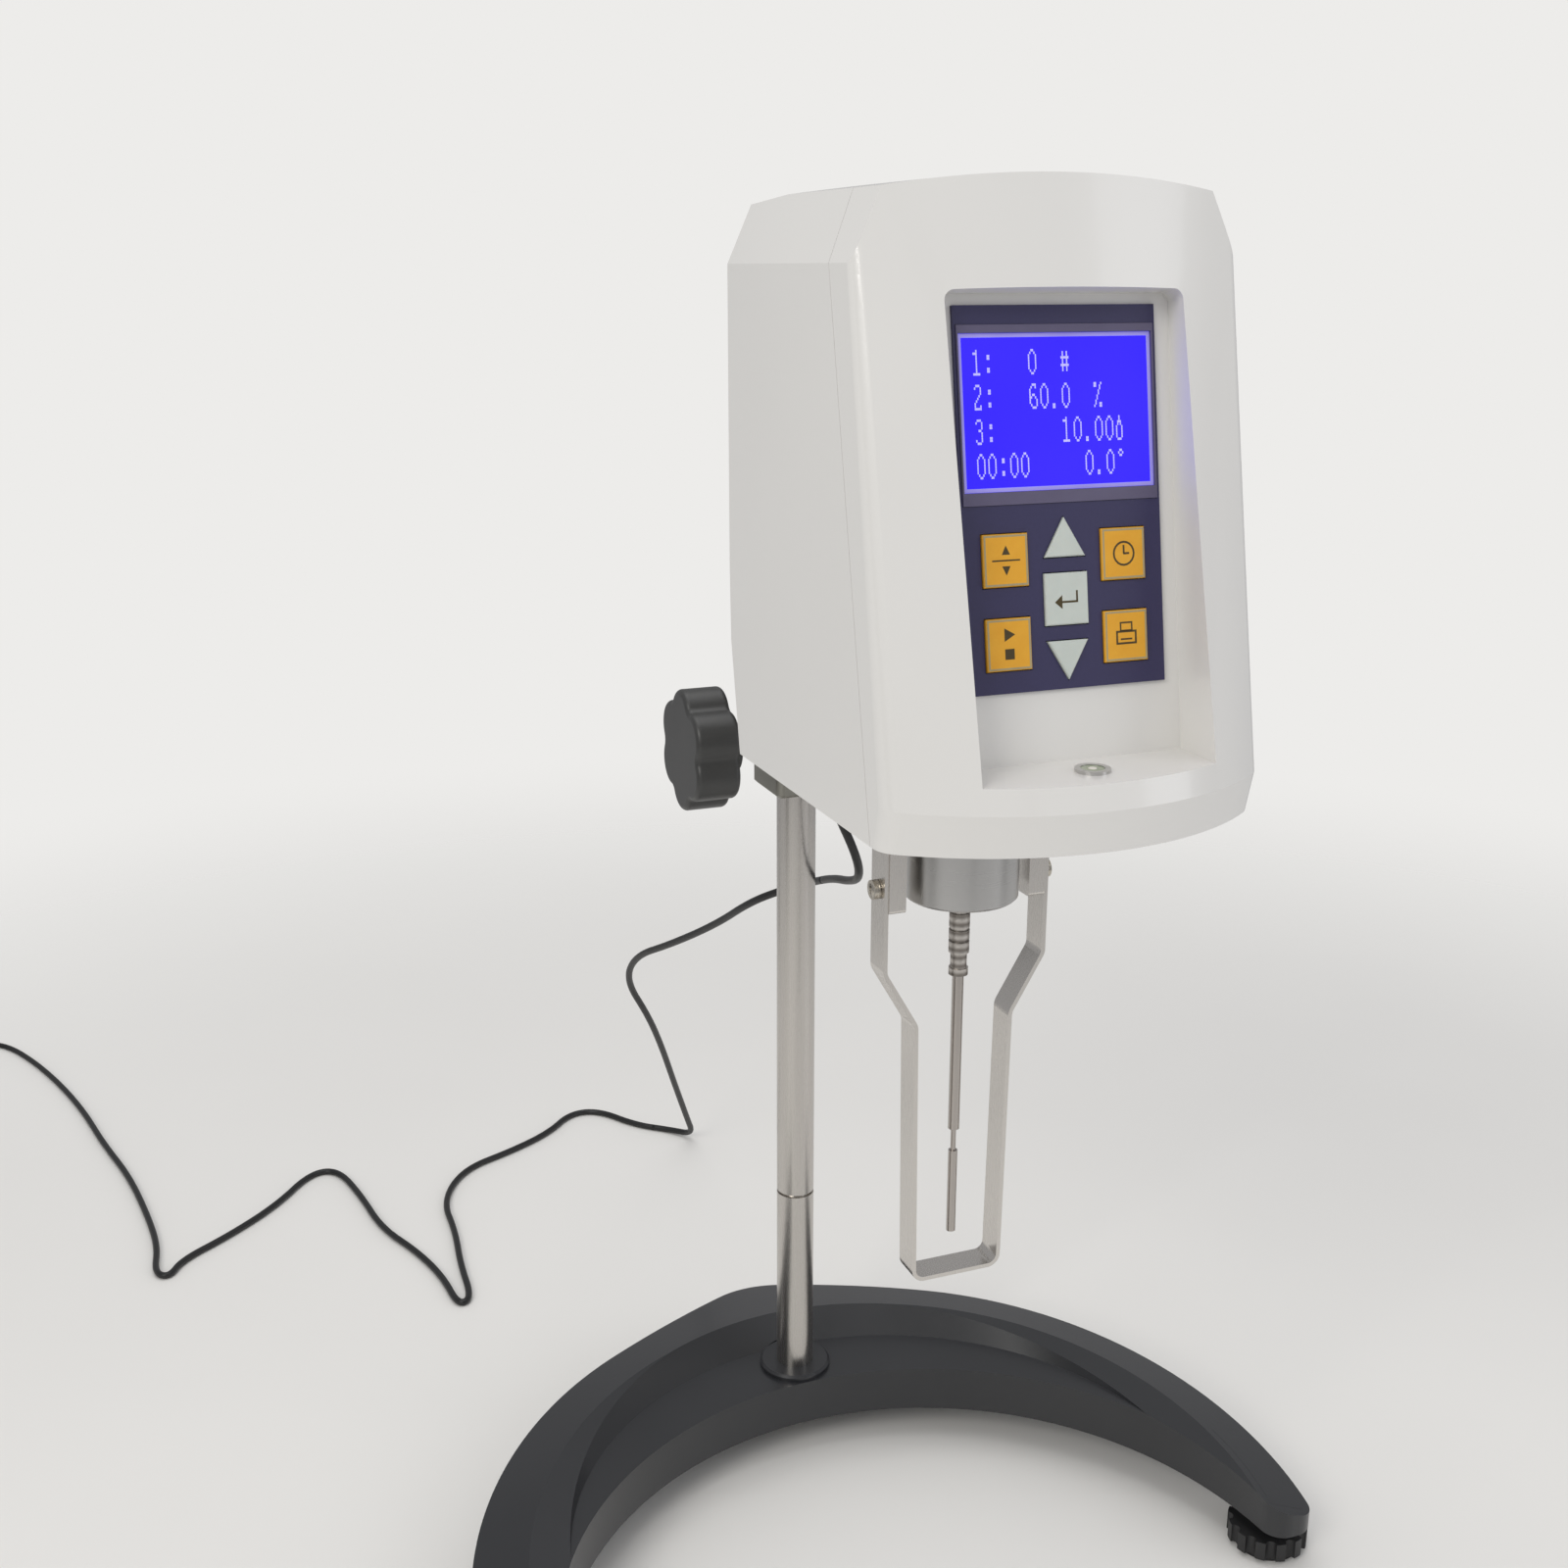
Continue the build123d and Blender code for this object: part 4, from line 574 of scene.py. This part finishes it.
def dressed(piece, finish, body):
    """Gives a piece its finish and the body that it rides on."""
    piece.data.materials.append(finish)
    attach(piece, body)


def flat_piece(name, faces, out, finish, body):
    """A mesh of flat faces laid on the panel, riding on a body."""
    mesh = bpy.data.meshes.new(name)
    shape = bmesh.new()
    for face in faces:
        shape.faces.new([shape.verts.new(on_panel(a, u, out)) for a, u in face])
    bmesh.ops.recalc_face_normals(shape, faces=shape.faces)
    for face in shape.faces:
        if face.normal.dot(PANEL_OUT) < 0:
            face.normal_flip()
    shape.to_mesh(mesh)
    shape.free()
    dressed(added(name, mesh), finish, body)


def bar(a, b, width):
    """A straight stroke between two places, as one face."""
    a, b = Vector(a), Vector(b)
    side = (b - a).normalized()
    side = Vector((-side.y, side.x)) * width / 2
    return [tuple(a + side), tuple(a - side), tuple(b - side), tuple(b + side)]


def frame_of(half_w, half_h, width, centre=(0, 0)):
    """Four faces round a rectangle, just inside its edge line."""
    x, y = centre
    w, h, t = half_w, half_h, width
    outer = [(x - w, y - h), (x + w, y - h), (x + w, y + h), (x - w, y + h)]
    inner = [(x - w + t, y - h + t), (x + w - t, y - h + t),
             (x + w - t, y + h - t), (x - w + t, y + h - t)]
    return [[outer[i], outer[(i + 1) % 4], inner[(i + 1) % 4], inner[i]] for i in range(4)]


# %% [markdown]
# The display shows four lines of characters in cells 8 dots wide. Only plain numbers and simple
# signs are written. Each glyph is ten rows of marks, and each # in them becomes one lit dot.

# %% Dot patterns of the figures
GLYPHS = {
    "0": "..##.. .#..#. #....# #....# #....# #....# #....# #....# .#..#. ..##..",
    "1": "..#... ###... ..#... ..#... ..#... ..#... ..#... ..#... ..#... #####.",
    "2": ".###.. #...#. ....#. ....#. ...#.. ..#... .#.... #..... #...#. #####.",
    "3": ".###.. #...#. ....#. ....#. ..##.. ....#. ....#. ....#. #...#. .###..",
    "6": "..###. .#..#. #..... #..... #.##.. ##..#. #....# #....# .#...# ..###.",
    ".": "...... ...... ...... ...... ...... ...... ...... ...... .##... .##...",
    ":": "...... ...... ..##.. ..##.. ...... ...... ...... ..##.. ..##.. ......",
    "#": "...... .#..#. .#..#. ###### .#..#. .#..#. ###### .#..#. .#..#. ......",
    "%": "##...# ##..#. ....#. ...#.. ...#.. ..#... ..#... .#.... .#..## #...##",
    "o": "..##.. .#..#. ..##.. ...... ...... ...... ...... ...... ...... ......",
    "~": "..#... ..#... .###.. .#.#.. #...#. #...#. #...#. #...#. #...#. .###..",
}
LINES = ["1:   0  #", "2:   60.0  %", "3:      10.00~", "00:00     0.0o"]
DOT_W = 0.43
DOT_H = 0.70
DOT_FILL = 0.94
CELL_DOTS = 8
FIRST_CELL = -26.0
TOP_LINE = 17.3
LINE_PITCH = 9.45
FIGURES_OUT = -0.56          # from the panel's face, just over the glass
GLOW_OUT = -0.55


def lit_dots():
    """Faces of all lit dots of the four lines."""
    faces = []
    for row, line in enumerate(LINES):
        for column, sign in enumerate(line):
            for j, marks in enumerate(GLYPHS.get(sign, "").split()):
                for i, mark in enumerate(marks):
                    if mark == "#":
                        a = FIRST_CELL + column * CELL_DOTS * DOT_W + i * DOT_W
                        u = TOP_LINE - row * LINE_PITCH - j * DOT_H
                        w, h = DOT_W * DOT_FILL, DOT_H * DOT_FILL
                        faces.append([(a, u), (a + w, u), (a + w, u - h), (a, u - h)])
    return faces


figures = lit_dots()
flat_piece("display_figures", figures, FIGURES_OUT, lit_dot, "head")
flat_piece("display_edge_glow", frame_of(30.6, 21.7, 1.1), GLOW_OUT, edge_glow, "head")
print("lit dots", len(figures))

# %% [markdown]
# ## Signs on the keys
# The four amber keys have a printed border. They and the middle key have a small sign of a few
# strokes about 0.5 mm wide, a hair above the key's top, which moves with its own key.

# %% Signs and borders
KEY_TOP = 0.92
BORDER_TOP = KEY_TOP - 0.005
BORDER_HALF_W = 7.1 - 0.3
BORDER_HALF_H = 7.4 - 0.3
BORDER_WIDTH = 0.55
KEYS_UP = -52.6              # the middle key, from the display's centre
AMBER = {"key_select": (-19, 11.8), "key_timer": (19, 11.8),
         "key_run_stop": (-19, -11.8), "key_print": (19, -11.8)}


def circle_of(radius, width, sides=20):
    """Faces of a printed circle line round the origin."""
    rim = [(cos(2 * pi * k / sides), sin(2 * pi * k / sides)) for k in range(sides)]
    r0, r1 = radius - width / 2, radius + width / 2
    return [[(r0 * c0, r0 * s0), (r1 * c0, r1 * s0), (r1 * c1, r1 * s1), (r0 * c1, r0 * s1)]
            for (c0, s0), (c1, s1) in zip(rim, rim[1:] + rim[:1])]


SIGNS = {
    "key_select": [bar((-4.4, 0), (4.4, 0), 0.45), [(-1.3, 1.6), (1.3, 1.6), (0, 4.2)],
                   [(-1.3, -1.6), (0, -4.2), (1.3, -1.6)]],
    "key_timer": circle_of(3.3, 0.6) + [bar((0, 0), (0, 2.4), 0.6), bar((-0.2, 0), (1.8, 0), 0.6)],
    "key_run_stop": [[(-1.5, 0.9), (1.9, 2.8), (-1.5, 4.7)],
                     [(-1.5, -1.2), (-1.5, -4.2), (1.5, -4.2), (1.5, -1.2)]],
    "key_print": frame_of(3.4, 2.0, 0.6, (0, -0.5)) + frame_of(2.1, 1.4, 0.5, (0, 2.6)) +
                 [bar((-1.9, -1.0), (1.9, -1.0), 0.5)],
    "key_enter": [bar((3.2, 2.2), (3.2, -0.9), 0.6), bar((3.5, -0.9), (-1.8, -0.9), 0.6),
                  [(-1.6, -2.9), (-1.6, 1.1), (-4.0, -0.9)]],
}
for key, faces in SIGNS.items():
    x, y = AMBER.get(key, (0, 0))
    moved = [[(a + x, u + y + KEYS_UP) for a, u in face] for face in faces]
    slot = "key_amber" if key in AMBER else "key_grey"
    flat_piece(key.replace("key", "sign"), moved, KEY_TOP, umber_ink, key)
for key, (x, y) in AMBER.items():
    border = frame_of(BORDER_HALF_W, BORDER_HALF_H, BORDER_WIDTH, (x, y + KEYS_UP))
    flat_piece(key.replace("key", "border"), border, BORDER_TOP, khaki_ink, key)
print("signs", len(SIGNS), "borders", len(AMBER))

# %% [markdown]
# ## Screws of the guard
# Each leg of the guard is held by a domed cheese-head screw with a straight slot. The dome is a
# small lathe shape: a profile turned round the screw's axis, with the slot pressed into its rings.


# %% Domed slotted screw
DOME_FOOT = 30.0             # millimetres from the spindle's axis
DOME_Z = 311.5
DOME_PROFILE = [(3.25, 0.0), (3.35, 1.0), (3.1, 1.8), (2.5, 2.35), (1.6, 2.65), (0.8, 2.78)]
DOME_SIDES = 32
SLOT_HALF = 0.55
SLOT_DEPTH = 1.1
SLOT_FLOOR = 1.5             # the slot is cut only into the rings above this height


def screw_dome(name, side):
    """A slotted dome over the plain head, turned about X."""
    shape = bmesh.new()
    rings = []
    for radius, height in DOME_PROFILE:
        ring = []
        for k in range(DOME_SIDES):
            a = 2 * pi * k / DOME_SIDES
            y, z = radius * cos(a), radius * sin(a)
            lift = height if abs(y) > SLOT_HALF or height < SLOT_FLOOR else height - SLOT_DEPTH
            place = Vector((side * (DOME_FOOT + lift), y, z + DOME_Z)) / 1000
            ring.append(shape.verts.new(place + Vector((0, SPINDLE_Y, 0))))
        rings.append(ring)
    for low, high in zip(rings, rings[1:]):
        for k in range(DOME_SIDES):
            shape.faces.new((low[k - 1], low[k], high[k], high[k - 1])).smooth = True
    shape.faces.new(rings[-1])
    shape.faces.new(reversed(rings[0]))
    dressed(closed(name, shape), nickel_screw, "head")


screw_dome("guard_screw_dome_left", -1)
screw_dome("guard_screw_dome_right", 1)
print("dome height", DOME_PROFILE[-1][1], "mm")

# %% [markdown]
# ## The level's bubble
# A small bubble floats at the top of the level's spirit. It is a flattened ball, made from an
# icosphere so that it has no poles.

# %% Bubble
BUBBLE_AT = Vector((0.0, COLUMN_Y - 0.22855, 0.3697))
BUBBLE_R = 0.0013
BUBBLE_HALF_T = 0.0003
BUBBLE_LIFT = 0.00012

shape = bmesh.new()
bmesh.ops.create_icosphere(shape, subdivisions=3, radius=1.0)
for vert in shape.verts:
    x, y, z = vert.co
    vert.co = BUBBLE_AT + Vector((x * BUBBLE_R, y * BUBBLE_R, z * BUBBLE_HALF_T + BUBBLE_LIFT))
for face in shape.faces:
    face.smooth = True
bubble = closed("level_bubble", shape)
dressed(bubble, milky_acetal, "head")
print("bubble", len(bubble.data.vertices), "points")

# %% [markdown]
# ## The arms' roofs
# The casting is hollow underneath, and in the solid model the hollow comes through the falling top
# near the ends of the arms. A closed skin 1.2 mm thick covers each place. Its top lies on the rim's
# bevel, a cone round an axis tilted by 5 degrees, so one formula gives every point of it.

# %% Skin over the end of an arm
RIM_TILT = radians(5.0)
RIM_CREST = Vector((0, COLUMN_Y + 0.024, 0.045))
BEVEL_R = 0.146
BEVEL_FALL = tan(radians(18.0))
ROOF_T = 0.0012
ROOF_PROUD = 0.00003         # over the bevel, so that the two faces don't flicker
ROOF_RADII = [0.1495 + 0.00175 * k for k in range(9)]
ROOF_ANGLES = [radians(84 + 1.25 * k) for k in range(15)]
SHARP = radians(40)


def on_bevel(radius, angle, below):
    """A point of the rim's bevel, by radius and angle round the tilted axis."""
    x, y = radius * sin(angle), radius * cos(angle) - BEVEL_R
    z = -max(radius - BEVEL_R, 0) * BEVEL_FALL - below
    tilted_y = y * cos(RIM_TILT) - z * sin(RIM_TILT)
    tilted_z = y * sin(RIM_TILT) + z * cos(RIM_TILT)
    return RIM_CREST + Vector((x, tilted_y, tilted_z))


def arm_roof(name, side):
    """A closed skin over the hollow: a grid on the bevel, the same grid below, and a wall."""
    shape = bmesh.new()
    angles = [side * angle for angle in ROOF_ANGLES]
    top = [[shape.verts.new(on_bevel(r, a, -ROOF_PROUD)) for r in ROOF_RADII] for a in angles]
    low = [[shape.verts.new(on_bevel(r, a, ROOF_T)) for r in ROOF_RADII] for a in angles]
    last_i, last_j = len(angles) - 1, len(ROOF_RADII) - 1
    for i in range(last_i):
        for j in range(last_j):
            shape.faces.new((top[i][j], top[i + 1][j], top[i + 1][j + 1], top[i][j + 1])).smooth = True
            shape.faces.new((low[i][j], low[i][j + 1], low[i + 1][j + 1], low[i + 1][j])).smooth = True
    loop = [(i, 0) for i in range(last_i)] + [(last_i, j) for j in range(last_j)]
    loop += [(i, last_j) for i in range(last_i, 0, -1)] + [(0, j) for j in range(last_j, 0, -1)]
    for (i, j), (k, m) in zip(loop, loop[1:] + loop[:1]):
        shape.faces.new((top[i][j], low[i][j], low[k][m], top[k][m]))
    bmesh.ops.recalc_face_normals(shape, faces=shape.faces)
    for edge in shape.edges:
        edge.smooth = edge.calc_face_angle(0.0) < SHARP
    dressed(closed(name, shape), black_enamel, "stand")


arm_roof("arm_roof_left", -1)
arm_roof("arm_roof_right", 1)
print("arm roofs", len(ROOF_ANGLES), "by", len(ROOF_RADII), "points")

# %% [markdown]
# ## The stage
# A pale bench and a pale background, with large soft lamps, show the object the way a catalogue
# would. The bench is a disc that fades out with distance, so there is no horizon line. The world
# is pale to the camera, softer as a light, and darker still where polished metal mirrors it.

# %% Reach of the bench, in metres
FADE_START = 0.5
FADE_END = 1.3
BENCH_SIDES = 64
print("bench fades from", FADE_START, "to", FADE_END)

# %% Bench
pale_bench, tree, shader, place = surface("bench_laminate_pale", "#E6E4E0", 0.5)
mottle(tree, place, shader, 220, "#E4E2DE", "#E9E7E3", 2.0)
reach = put(tree, "ShaderNodeVectorMath", {0: place}, operation="LENGTH")
fade = put(tree, "ShaderNodeMapRange",
           {"Value": reach.outputs["Value"], "From Min": FADE_START, "From Max": FADE_END},
           interpolation_type="SMOOTHSTEP")
open_air = put(tree, "ShaderNodeBsdfTransparent")
blend = put(tree, "ShaderNodeMixShader", {0: fade.outputs["Result"], 1: shader.outputs["BSDF"],
                                          2: open_air.outputs["BSDF"]})
tree.links.new(blend.outputs["Shader"], tree.nodes["Material Output"].inputs["Surface"])
bench_mesh = bpy.data.meshes.new("bench")
turns = [2 * pi * k / BENCH_SIDES for k in range(BENCH_SIDES)]
rim = [(FADE_END * cos(turn), FADE_END * sin(turn), 0) for turn in turns]
bench_mesh.from_pydata(rim, [], [list(range(BENCH_SIDES))])
bench_mesh.materials.append(pale_bench)
bench = added("bench", bench_mesh)

# %% World
LIGHT = 0.62
MIRRORED_LIGHT = 0.42
world = bpy.data.worlds.new("studio")
bpy.context.scene.world = world
world.use_nodes = True
sky = world.node_tree
sky.nodes.clear()
ray = put(sky, "ShaderNodeLightPath")
seen = put(sky, "ShaderNodeMath", {0: ray.outputs["Is Camera Ray"], 1: ray.outputs["Is Transmission Ray"]},
           operation="MAXIMUM")
soft = put(sky, "ShaderNodeBackground", {"Color": linear("#F6F7FA"), "Strength": LIGHT})
mirrored = put(sky, "ShaderNodeBackground", {"Color": linear("#F4F4F6"), "Strength": MIRRORED_LIGHT})
bright = put(sky, "ShaderNodeBackground", {"Color": linear("#EDECEA"), "Strength": 1.0})
unseen = put(sky, "ShaderNodeMixShader", {0: ray.outputs["Is Glossy Ray"], 1: soft.outputs["Background"],
                                          2: mirrored.outputs["Background"]})
choice = put(sky, "ShaderNodeMixShader", {0: seen.outputs["Value"], 1: unseen.outputs["Shader"],
                                          2: bright.outputs["Background"]})
put(sky, "ShaderNodeOutputWorld", {"Surface": choice.outputs["Shader"]})
print("world nodes", len(sky.nodes))


# %% Lamps
def lamp(name, place, target, size, power, colour):
    """A rectangular lamp that faces its target, with its power in watts."""
    data = bpy.data.lights.new(name, "AREA")
    data.shape = "RECTANGLE"
    data.size, data.size_y = size
    data.energy = power
    data.color = linear(colour)[:3]
    made = added(name, data)
    made.location = place
    made.rotation_mode = "QUATERNION"
    made.rotation_quaternion = (Vector(target) - Vector(place)).to_track_quat("-Z", "Y")


lamp("key_lamp", (-1.5, -1.1, 1.5), (0, 0, 0.35), (0.9, 0.9), 15, "#FFFDF8")
lamp("fill_lamp", (1.6, -1.2, 0.9), (0, 0, 0.3), (1.0, 1.6), 7, "#F8FAFF")
lamp("top_lamp", (0.0, 0.3, 1.9), (0, 0, 0.3), (1.4, 1.4), 9, "#FFFFFF")
print("lamps", len(bpy.data.lights))

# %% [markdown]
# Round polished metal on a pale stage looks flat, because it mirrors only pale things. Three narrow
# dark boards stand round the object, as in a photo studio. Only mirrored rays see them, so they
# draw dark streaks down the column and the guard and cast no shadow.

# %% Dark boards
BOARD_H = 1.0
dark_board, tree, shader, place = surface("studio_board_black", "#0C0C0D", 0.9)
mottle(tree, place, shader, 50, "#0A0A0B", "#101011")


def side_board(name, x, y, half_w):
    """An upright board that stands on the bench and faces the object."""
    side = Vector((-y, x, 0)).normalized() * half_w
    foot = Vector((x, y, 0))
    rise = Vector((0, 0, BOARD_H))
    corners = [foot - side, foot + side, foot + side + rise, foot - side + rise]
    mesh = bpy.data.meshes.new(name)
    mesh.from_pydata(corners, [], [(0, 1, 2, 3)])
    mesh.materials.append(dark_board)
    made = added(name, mesh)
    made.visible_camera = False
    made.visible_diffuse = False
    made.visible_shadow = False
    made.visible_transmission = False


side_board("board_left", -0.95, -0.15, 0.16)
side_board("board_right", 0.9, -0.45, 0.13)
side_board("board_front", -0.05, -1.1, 0.05)
print("boards", BOARD_H, "m high")

# %% Output settings that belong to the scene
bpy.context.scene.view_settings.view_transform = "Standard"
